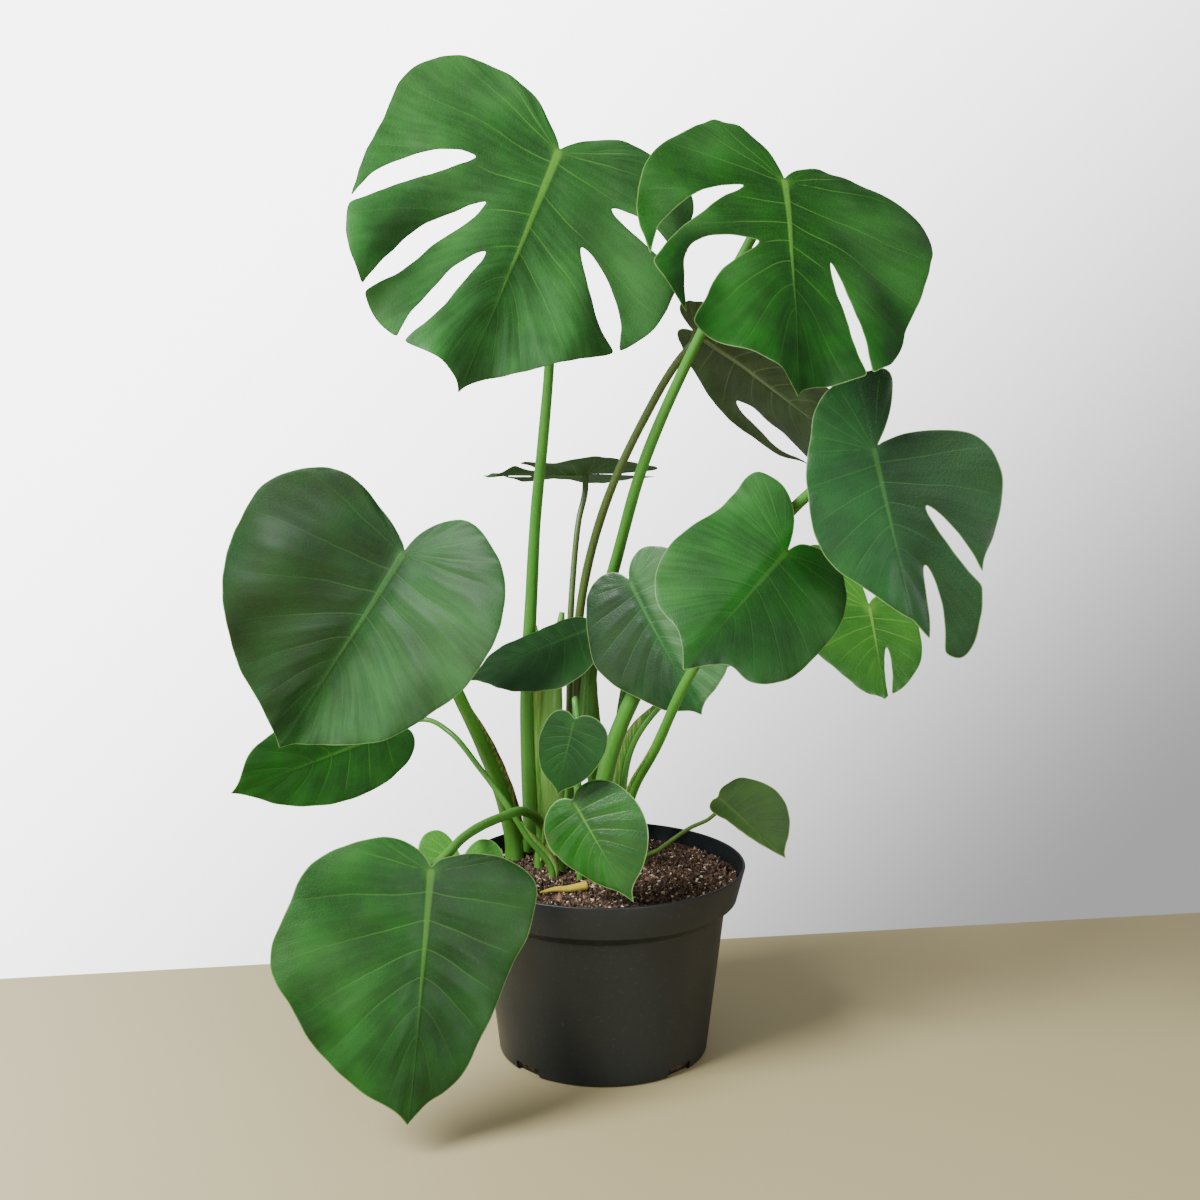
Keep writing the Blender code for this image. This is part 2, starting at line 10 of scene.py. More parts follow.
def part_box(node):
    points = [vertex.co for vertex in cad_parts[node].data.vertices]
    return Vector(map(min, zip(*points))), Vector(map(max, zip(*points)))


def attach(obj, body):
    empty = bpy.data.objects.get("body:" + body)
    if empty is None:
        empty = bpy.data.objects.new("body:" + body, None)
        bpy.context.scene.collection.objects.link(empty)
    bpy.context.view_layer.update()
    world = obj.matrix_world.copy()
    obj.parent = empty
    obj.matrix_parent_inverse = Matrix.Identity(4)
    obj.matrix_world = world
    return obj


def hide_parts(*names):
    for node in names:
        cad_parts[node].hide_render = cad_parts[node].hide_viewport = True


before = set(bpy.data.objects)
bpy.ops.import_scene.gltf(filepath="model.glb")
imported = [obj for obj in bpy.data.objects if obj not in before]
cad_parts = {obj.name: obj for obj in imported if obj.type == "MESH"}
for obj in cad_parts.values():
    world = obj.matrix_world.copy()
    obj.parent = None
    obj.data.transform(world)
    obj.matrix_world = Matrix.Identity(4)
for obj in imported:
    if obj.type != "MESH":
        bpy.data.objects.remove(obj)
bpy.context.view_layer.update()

# ------------------------------------------------------------------------------ nursery pot
# A grower's pot of black polypropylene, injection moulded in one shot: a tapered body, a deep
# rim band that stands proud of it, and four drain notches at the foot. The mould's fine spark
# finish makes it satin, and handling leaves fine specks of dust on it.

MM = 0.001
pot_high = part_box("pot")[1]
RIM_RADIUS = pot_high[0]
POT_HEIGHT = pot_high[2]
POT_BASE_RADIUS = 0.0943
POT_WALL = 0.002
POT_FLOOR = 0.003
BAND_HEIGHT = 0.031
BAND_TAPER = 0.007
BAND_OVERHANG = 0.011
NOTCH_WIDTH = 0.028
NOTCH_HEIGHT = 0.009
NOTCH_LENGTH = 0.012
NOTCH_ROUND = 0.003
FLOOR_BEVEL = 0.003
LIP_ROUND = 0.0012
BAND_ROUND = 0.0022
HOLLOW_ROUND = 0.0035
BASE_ROUND = 0.0035
LATHE_STEPS = 192


def srgb(hex_colour):
    """A linear colour from an sRGB hex value."""
    parts = [int(hex_colour[i : i + 2], 16) / 255 for i in (1, 3, 5)]
    return tuple(p / 12.92 if p <= 0.04045 else ((p + 0.055) / 1.055) ** 2.4 for p in parts) + (1.0,)


def add(tree, kind, inputs=None, **settings):
    """Adds a node with its settings. Each input is a value or another node's output."""
    node = tree.nodes.new(kind)
    for name, value in settings.items():
        setattr(node, name, value)
    for key, value in (inputs or {}).items():
        if isinstance(value, bpy.types.NodeSocket):
            tree.links.new(value, node.inputs[key])
        else:
            node.inputs[key].default_value = value
    return node


def new_finish(name, **values):
    """A Principled material, with the values that are the same all over it."""
    finish = bpy.data.materials.new(name)
    finish.use_nodes = True
    shader = finish.node_tree.nodes["Principled BSDF"]
    for key, value in values.items():
        shader.inputs[key.replace("_", " ").title().replace("Ior", "IOR")].default_value = value
    return finish, finish.node_tree, shader


def blend_colours(tree, share, first, second):
    """A colour mix: first where the share is 0, second where it is 1."""
    mix = {0: share, 6: first, 7: second}
    return add(tree, "ShaderNodeMix", mix, data_type="RGBA").outputs[2]


def ramp(tree, value, low, high, to_low=0.0, to_high=1.0, smooth=True):
    """A value's share of the way from low to high."""
    kind = "SMOOTHSTEP" if smooth else "LINEAR"
    inputs = {0: value, 1: low, 2: high, 3: to_low, 4: to_high}
    return add(tree, "ShaderNodeMapRange", inputs, interpolation_type=kind).outputs[0]


def maths(tree, operation, first, second=0.0):
    return add(tree, "ShaderNodeMath", {0: first, 1: second}, operation=operation).outputs[0]


def times(tree, first, second):
    return maths(tree, "MULTIPLY", first, second)


def plus(tree, first, second):
    return maths(tree, "ADD", first, second)


def clouds(tree, where, scale, detail):
    """A noise texture's value."""
    inputs = {"Vector": where, "Scale": scale, "Detail": detail}
    return add(tree, "ShaderNodeTexNoise", inputs).outputs[0]


def coordinate(tree, vector, axis):
    return add(tree, "ShaderNodeSeparateXYZ", {0: vector}).outputs[axis]


def surface(tree, shader, colour, height, strength, depth, rough=None):
    """Links a material's colour, its fine relief and, where it varies, its roughness."""
    tree.links.new(colour, shader.inputs["Base Color"])
    inputs = {"Strength": strength, "Distance": depth, "Height": height}
    tree.links.new(add(tree, "ShaderNodeBump", inputs).outputs[0], shader.inputs["Normal"])
    if rough is not None:
        tree.links.new(rough, shader.inputs["Roughness"])


def placed(name, data):
    """A new object in the scene, at the origin."""
    obj = bpy.data.objects.new(name, data)
    bpy.context.scene.collection.objects.link(obj)
    return obj


def mesh_of(bm, name):
    """A mesh from a BMesh, which is freed."""
    mesh = bpy.data.meshes.new(name)
    bm.to_mesh(mesh)
    bm.free()
    return mesh


def finish_piece(name, mesh, finishes, replaced, smooth=True):
    """Puts a finished mesh in the scene, at the origin, riding on the one body."""
    for finish in finishes:
        mesh.materials.append(finish)
    if smooth:
        mesh.shade_smooth()
    piece = placed(name, mesh)
    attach(piece, "root")
    if replaced:
        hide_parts(*replaced)
    return piece


def arc(centre, radius, start, end, steps):
    """Points of an arc in the profile plane, with its angles in degrees."""
    angles = np.radians(np.linspace(start, end, steps))
    return [(centre[0] + radius * math.cos(a), centre[1] + radius * math.sin(a)) for a in angles]


def pot_profile():
    """Half the pot's section: up its inside from the floor, over the lip and down to the base."""
    foot = POT_HEIGHT - BAND_HEIGHT
    foot_radius = RIM_RADIUS - BAND_TAPER
    body_radius = foot_radius - BAND_OVERHANG
    body_top = foot - BAND_OVERHANG / 2
    inside = [
        (0.0, POT_FLOOR),
        (POT_BASE_RADIUS - POT_WALL - FLOOR_BEVEL, POT_FLOOR),
        (POT_BASE_RADIUS - POT_WALL, POT_FLOOR + FLOOR_BEVEL),
        (body_radius - POT_WALL, body_top + 0.001),
        (foot_radius - POT_WALL, foot + 0.002),
        (RIM_RADIUS - POT_WALL - 0.0003, POT_HEIGHT - 0.0015),
    ]
    lip = arc((RIM_RADIUS - LIP_ROUND, POT_HEIGHT - LIP_ROUND), LIP_ROUND, 150, -5, 7)
    band_foot = arc((foot_radius - BAND_ROUND, foot + 0.002), BAND_ROUND, -5, -75, 7)
    hollow = arc((body_radius + HOLLOW_ROUND, body_top - 0.0042), HOLLOW_ROUND, 105, 178, 8)
    base = arc((POT_BASE_RADIUS - BASE_ROUND, BASE_ROUND), BASE_ROUND, 5, -90, 7)
    return inside + lip + band_foot + hollow + base + [(0.0, 0.0)]


def turned_mesh(profile, steps):
    """A solid of revolution about the Z axis, with its poles closed and its faces outwards."""
    bm = bmesh.new()
    verts = [bm.verts.new((radius, 0, height)) for radius, height in profile]
    edges = [bm.edges.new(pair) for pair in zip(verts, verts[1:])]
    bmesh.ops.spin(
        bm, geom=verts + edges, axis=(0, 0, 1), cent=(0, 0, 0), angle=2 * math.pi, steps=steps
    )
    bmesh.ops.remove_doubles(bm, verts=bm.verts, dist=1e-6)
    bmesh.ops.dissolve_degenerate(bm, edges=bm.edges, dist=1e-7)
    bmesh.ops.recalc_face_normals(bm, faces=bm.faces)
    return mesh_of(bm, "turned")


def notch_cutter():
    """Four rounded blocks across the foot of the wall, between the quarters."""
    bm = bmesh.new()
    for i in range(4):
        turn = Matrix.Rotation(math.pi / 2 * (i + 0.5), 4, "Z")
        block = bmesh.ops.create_cube(bm, size=1.0)["verts"]
        for vert in block:
            x = POT_BASE_RADIUS + vert.co.x * NOTCH_LENGTH
            vert.co = turn @ Vector((x, vert.co.y * NOTCH_WIDTH, vert.co.z * 2 * NOTCH_HEIGHT))
        tops = {e for v in block if v.co.z > 0 for e in v.link_edges}
        radial = [
            e for e in tops
            if all(v.co.z > 0 for v in e.verts)
            and abs(e.verts[0].co.xy.length - e.verts[1].co.xy.length) > 0.005
        ]
        bmesh.ops.bevel(bm, geom=radial, offset=NOTCH_ROUND, segments=4, affect="EDGES", profile=0.5)
    return placed("notch_cutter", mesh_of(bm, "notch_cutter"))


def evaluated_mesh(obj):
    """The object's mesh with its modifiers applied, and the object removed."""
    graph = bpy.context.evaluated_depsgraph_get()
    mesh = bpy.data.meshes.new_from_object(obj.evaluated_get(graph), depsgraph=graph)
    bpy.data.objects.remove(obj)
    return mesh


def pot_mesh():
    blank = placed("pot_blank", turned_mesh(pot_profile(), LATHE_STEPS))
    cutter = notch_cutter()
    cut = blank.modifiers.new("Drain notches", "BOOLEAN")
    cut.operation = "DIFFERENCE"
    cut.object = cutter
    mesh = evaluated_mesh(blank)
    bpy.data.objects.remove(cutter)
    return mesh


def moulded_polypropylene():
    """Moulded polypropylene, spark-finished: a charcoal satin skin, with fine specks of dust and
    slow unevenness in its gloss."""
    finish, tree, shader = new_finish("moulded_polypropylene", ior=1.49)
    where = add(tree, "ShaderNodeTexCoord").outputs["Object"]
    cloud = clouds(tree, where, 14, 4)
    specks = ramp(tree, clouds(tree, where, 420, 1), 0.66, 0.74)
    body = blend_colours(tree, cloud, srgb("#0b1216"), srgb("#10181c"))
    colour = blend_colours(tree, times(tree, specks, 0.12), body, srgb("#5d605f"))
    gloss = ramp(tree, cloud, 0.3, 0.7, 0.4, 0.52)
    surface(tree, shader, colour, clouds(tree, where, 1400, 2), 0.12, 0.2 * MM, gloss)
    return finish


pot = finish_piece("nursery_pot", pot_mesh(), [moulded_polypropylene()], ["pot"])
pot.data.set_sharp_from_angle(angle=math.radians(32))

# ------------------------------------------------------------------------------ potting soil
# A loose, dark mix of milled peat and fine bark, with white perlite and a few pale chips. It is
# filled by hand, so it stands a little unevenly and lies against the pot's inside.

soil_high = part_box("soil")[1]
SOIL_TOP = soil_high[2]
SOIL_RADIUS = soil_high[0]
BED_RINGS = 64
BED_STEPS = 180
# The bed's lumps: how many to a metre, and how high in millimetres.
BED_LUMPS = ((45, 1.6), (160, 0.9), (420, 0.7))
BED_DROP = 0.8
CRUMB_SIZE = 1.5 * MM
BARK_SIZE = 1.9 * MM
PERLITE_SIZE = 1.15 * MM
GRAIN_DROP = 0.2 * MM
GRAIN_INSET = 2.5 * MM


def soil_bed_mesh():
    """The mix as one body with a low, lumpy top, from the pot's floor up to its level."""
    bm = bmesh.new()
    levels = [(SOIL_RADIUS * i / BED_RINGS, SOIL_TOP) for i in range(1, BED_RINGS + 1)]
    side = [
        (SOIL_RADIUS, SOIL_TOP - 0.004),
        (SOIL_RADIUS - 0.004, POT_HEIGHT - BAND_HEIGHT + 0.004),
        (0.1055, POT_HEIGHT - BAND_HEIGHT - 0.006),
        (POT_BASE_RADIUS - POT_WALL - 0.0006, POT_FLOOR + 0.001),
    ]
    loops = []
    for radius, height in levels + side:
        loop = []
        for k in range(BED_STEPS):
            angle = 2 * math.pi * k / BED_STEPS
            place = Vector((radius * math.cos(angle), radius * math.sin(angle), height))
            if height == SOIL_TOP:
                lumps = sum(noise.noise(place * close) * high for close, high in BED_LUMPS)
                place.z += (lumps - BED_DROP) * MM
            loop.append(bm.verts.new(place))
        loops.append(loop)
    top = bm.verts.new((0, 0, SOIL_TOP - BED_DROP * MM))
    foot = bm.verts.new((0, 0, POT_FLOOR + 0.001))
    for k in range(BED_STEPS):
        after = (k + 1) % BED_STEPS
        bm.faces.new((top, loops[0][k], loops[0][after]))
        for inner, outer in zip(loops, loops[1:]):
            bm.faces.new((inner[k], outer[k], outer[after], inner[after]))
        bm.faces.new((foot, loops[-1][after], loops[-1][k]))
    return mesh_of(bm, "soil_bed")


def lump(name, size, squash, levels, rough, seed):
    """A small irregular grain: an icosphere, squashed and roughened."""
    bm = bmesh.new()
    bmesh.ops.create_icosphere(bm, subdivisions=levels, radius=1.0)
    for vert in bm.verts:
        shift = 1 + rough * noise.noise(vert.co * 1.7 + Vector((seed, seed * 0.7, 0)))
        vert.co = Vector((vert.co.x * squash[0], vert.co.y * squash[1], vert.co.z * squash[2]))
        vert.co *= size * shift
    return placed(name, mesh_of(bm, name))


def geometry_tree(name, inputs):
    """A Geometry Nodes tree that takes these inputs, each of its kind, and where they arrive."""
    tree = bpy.data.node_groups.new(name, "GeometryNodeTree")
    for label, kind in inputs.items():
        tree.interface.new_socket(label, in_out="INPUT", socket_type="NodeSocket" + kind)
    tree.interface.new_socket("Geometry", in_out="OUTPUT", socket_type="NodeSocketGeometry")
    return tree, tree.nodes.new("NodeGroupInput").outputs


def end_tree(tree, geometry, finish):
    """Makes the geometry real, coats it with its finish and sends it out of the tree."""
    real = add(tree, "GeometryNodeRealizeInstances", {0: geometry})
    coated = add(tree, "GeometryNodeSetMaterial", {0: real.outputs[0], "Material": finish})
    tree.links.new(coated.outputs[0], tree.nodes.new("NodeGroupOutput").inputs[0])
    return tree


def scatter_tree(name):
    """Geometry Nodes: one shape of grain, scattered over a disc of soil and turned at random."""
    inputs = {"Geometry": "Geometry", "Grain": "Object", "Count": "Int", "Seed": "Int"}
    inputs |= dict.fromkeys(("Radius", "Level", "Smallest", "Largest"), "Float")
    tree, given = geometry_tree(name, inputs | {"Finish": "Material"})
    points = add(tree, "GeometryNodePoints", {"Count": given["Count"]})
    index = add(tree, "GeometryNodeInputIndex").outputs[0]
    draws = []
    for i in range(3):
        seed = plus(tree, given["Seed"], float(10 * i))
        inputs = {"ID": index, "Seed": seed, 2: 0.0, 3: 1.0}
        draws.append(add(tree, "FunctionNodeRandomValue", inputs, data_type="FLOAT").outputs[1])
    out = times(tree, maths(tree, "SQRT", draws[0]), given["Radius"])
    angle = times(tree, draws[1], 2 * math.pi)
    x = times(tree, maths(tree, "COSINE", angle), out)
    y = times(tree, maths(tree, "SINE", angle), out)
    place = add(tree, "ShaderNodeCombineXYZ", {0: x, 1: y, 2: given["Level"]}).outputs[0]
    laid = add(tree, "GeometryNodeSetPosition", {"Geometry": points.outputs[0], "Position": place})
    inputs = {0: (0.0, 0.0, 0.0), 1: (6.28, 6.28, 6.28), "ID": index, "Seed": given["Seed"]}
    spin = add(tree, "FunctionNodeRandomValue", inputs, data_type="FLOAT_VECTOR")
    grow = maths(tree, "POWER", draws[2], 2.0)
    span = maths(tree, "SUBTRACT", given["Largest"], given["Smallest"])
    size = plus(tree, times(tree, grow, span), given["Smallest"])
    grain = add(tree, "GeometryNodeObjectInfo", {"Object": given["Grain"]})
    inputs = {"Points": laid.outputs[0], "Instance": grain.outputs["Geometry"]}
    inputs |= {"Rotation": spin.outputs[0], "Scale": size}
    many = add(tree, "GeometryNodeInstanceOnPoints", inputs)
    return end_tree(tree, many.outputs[0], given["Finish"])


def nodes_mesh(name, data, tree, values):
    """The mesh that a Geometry Nodes tree makes, with its inputs set to these values."""
    holder = placed(name, data)
    nodes = holder.modifiers.new(name, "NODES")
    nodes.node_group = tree
    sockets = {s.name: s.identifier for s in tree.interface.items_tree if s.in_out == "INPUT"}
    for label, value in values.items():
        nodes[sockets[label]] = value
    mesh = evaluated_mesh(holder)
    mesh.materials.clear()
    return mesh


def peat(name, dark, light, pale, depth):
    """Milled peat and bark: matt brown-black fibre, each crumb its own brown, a few of them pale."""
    finish, tree, shader = new_finish(name, roughness=0.9, specular_ior_level=0.25)
    where = add(tree, "ShaderNodeTexCoord").outputs["Object"]
    crumbs = add(tree, "ShaderNodeTexVoronoi", {"Vector": where, "Scale": 420})
    tone = add(tree, "ShaderNodeSeparateColor", {0: crumbs.outputs["Color"]}).outputs[0]
    brown = blend_colours(tree, ramp(tree, tone, 0.1, 0.95), srgb(dark), srgb(light))
    colour = blend_colours(tree, ramp(tree, tone, 0.93, 0.97), brown, srgb(pale))
    surface(tree, shader, colour, clouds(tree, where, 900, 4), 0.7, depth)
    return finish


def perlite():
    """Expanded perlite: white, chalky and full of pores, a little stained by the peat."""
    finish, tree, shader = new_finish("perlite", roughness=0.85, specular_ior_level=0.3)
    where = add(tree, "ShaderNodeTexCoord").outputs["Object"]
    pores = add(tree, "ShaderNodeTexVoronoi", {"Vector": where, "Scale": 1500}).outputs[0]
    stain = ramp(tree, clouds(tree, where, 230, 3), 0.35, 0.7)
    colour = blend_colours(tree, stain, srgb("#8f7f6c"), srgb("#ded6c8"))
    surface(tree, shader, colour, pores, 0.6, 0.6 * MM)
    return finish


crumb_finish = peat("milled_peat", "#261c17", "#665041", "#cdbda6", 0.8 * MM)
bark_finish = peat("fine_bark", "#33281f", "#86694e", "#d0bda0", 0.6 * MM)
finish_piece("soil_bed", soil_bed_mesh(), [crumb_finish], ["soil"])
scatter = scatter_tree("scatter_grains")
# Each kind of grain: its squash, mesh levels, roughness, size, count, seed, least and greatest scale.
GRAINS = [
    ("soil_crumbs", (1.0, 0.8, 0.62), 1, 0.8, CRUMB_SIZE, 9000, 3, 0.7, 1.9, crumb_finish),
    ("soil_bark", (1.9, 0.9, 0.34), 2, 0.6, BARK_SIZE, 420, 7, 0.7, 2.1, bark_finish),
    ("soil_perlite", (1.0, 0.85, 0.75), 2, 0.7, PERLITE_SIZE, 520, 11, 0.6, 1.6, perlite()),
]
for label, squash, levels, rough, size, count, seed, smallest, largest, finish in GRAINS:
    grain = lump(label + "_grain", size, squash, levels, rough, seed)
    values = {"Grain": grain, "Count": count, "Seed": seed, "Finish": finish}
    values |= {"Radius": SOIL_RADIUS - GRAIN_INSET, "Level": SOIL_TOP - GRAIN_DROP}
    values |= {"Smallest": smallest, "Largest": largest}
    mesh = nodes_mesh("scatter", bpy.data.meshes.new("scatter"), scatter, values)
    bpy.data.objects.remove(grain)
    finish_piece(label, mesh, [finish], [], smooth=levels > 1)

# ------------------------------------------------------------------------------ leaf blades
# Leathery half-grown leaves of a Swiss cheese plant: a waxy upper skin, quilted between sunken
# side veins, on a thick pale midrib that stands out below. Each blade grows from the end of its
# stalk and hangs by its own weight. The long holes opened from the margin as the leaf unrolled.

# Angles from the tip at which each half outline gives the blade's reach. The last is the sinus.
OUTLINE_ANGLES = (0, 12, 25, 40, 55, 70, 90, 110, 130, 150, 168, 180)
SINUS_REACH = 3.5
TIP_ANGLE = 3.0
SOFT_FOLD = 15 * MM
LEAF_MESH = 2.1 * MM
UPPER_SKIN = 0.3 * MM
# The side veins: degrees from one to the next, how far round those from the midrib spread, and how
# strongly they arch. They leave the midrib along this share of the blade.
VEIN_ANGLE = 15.0
VEIN_FAN = 100.0
VEIN_ARCH = 0.6
RIB_LENGTH = 0.8
QUILT = 0.9 * MM
# Low swells over each blade: how close they lie and which way each runs, in radians.
SWELLS = ((34, 0.4), (47, 1.9), (71, 2.7), (96, 0.9), (140, 2.2))
SWELL_HEIGHT = 0.7 * MM
MARGIN_CURL = 0.8 * MM
MARGIN_FLUTE = 0.8 * MM
MARGIN_DRIFT = 0.8 * MM
MARGIN_ROUND = 1.2 * MM
RIB_LINES = (-5.2, -3.6, -2.2, -1.0, 0, 1.0, 2.2, 3.6, 5.2)


def past_rim(bearing, reach, height):
    """A place, in millimetres, this far outside the pot's rim, with its height above the soil."""
    out = RIM_RADIUS / MM + reach
    return (out * math.cos(math.radians(bearing)), out * math.sin(math.radians(bearing)), height)


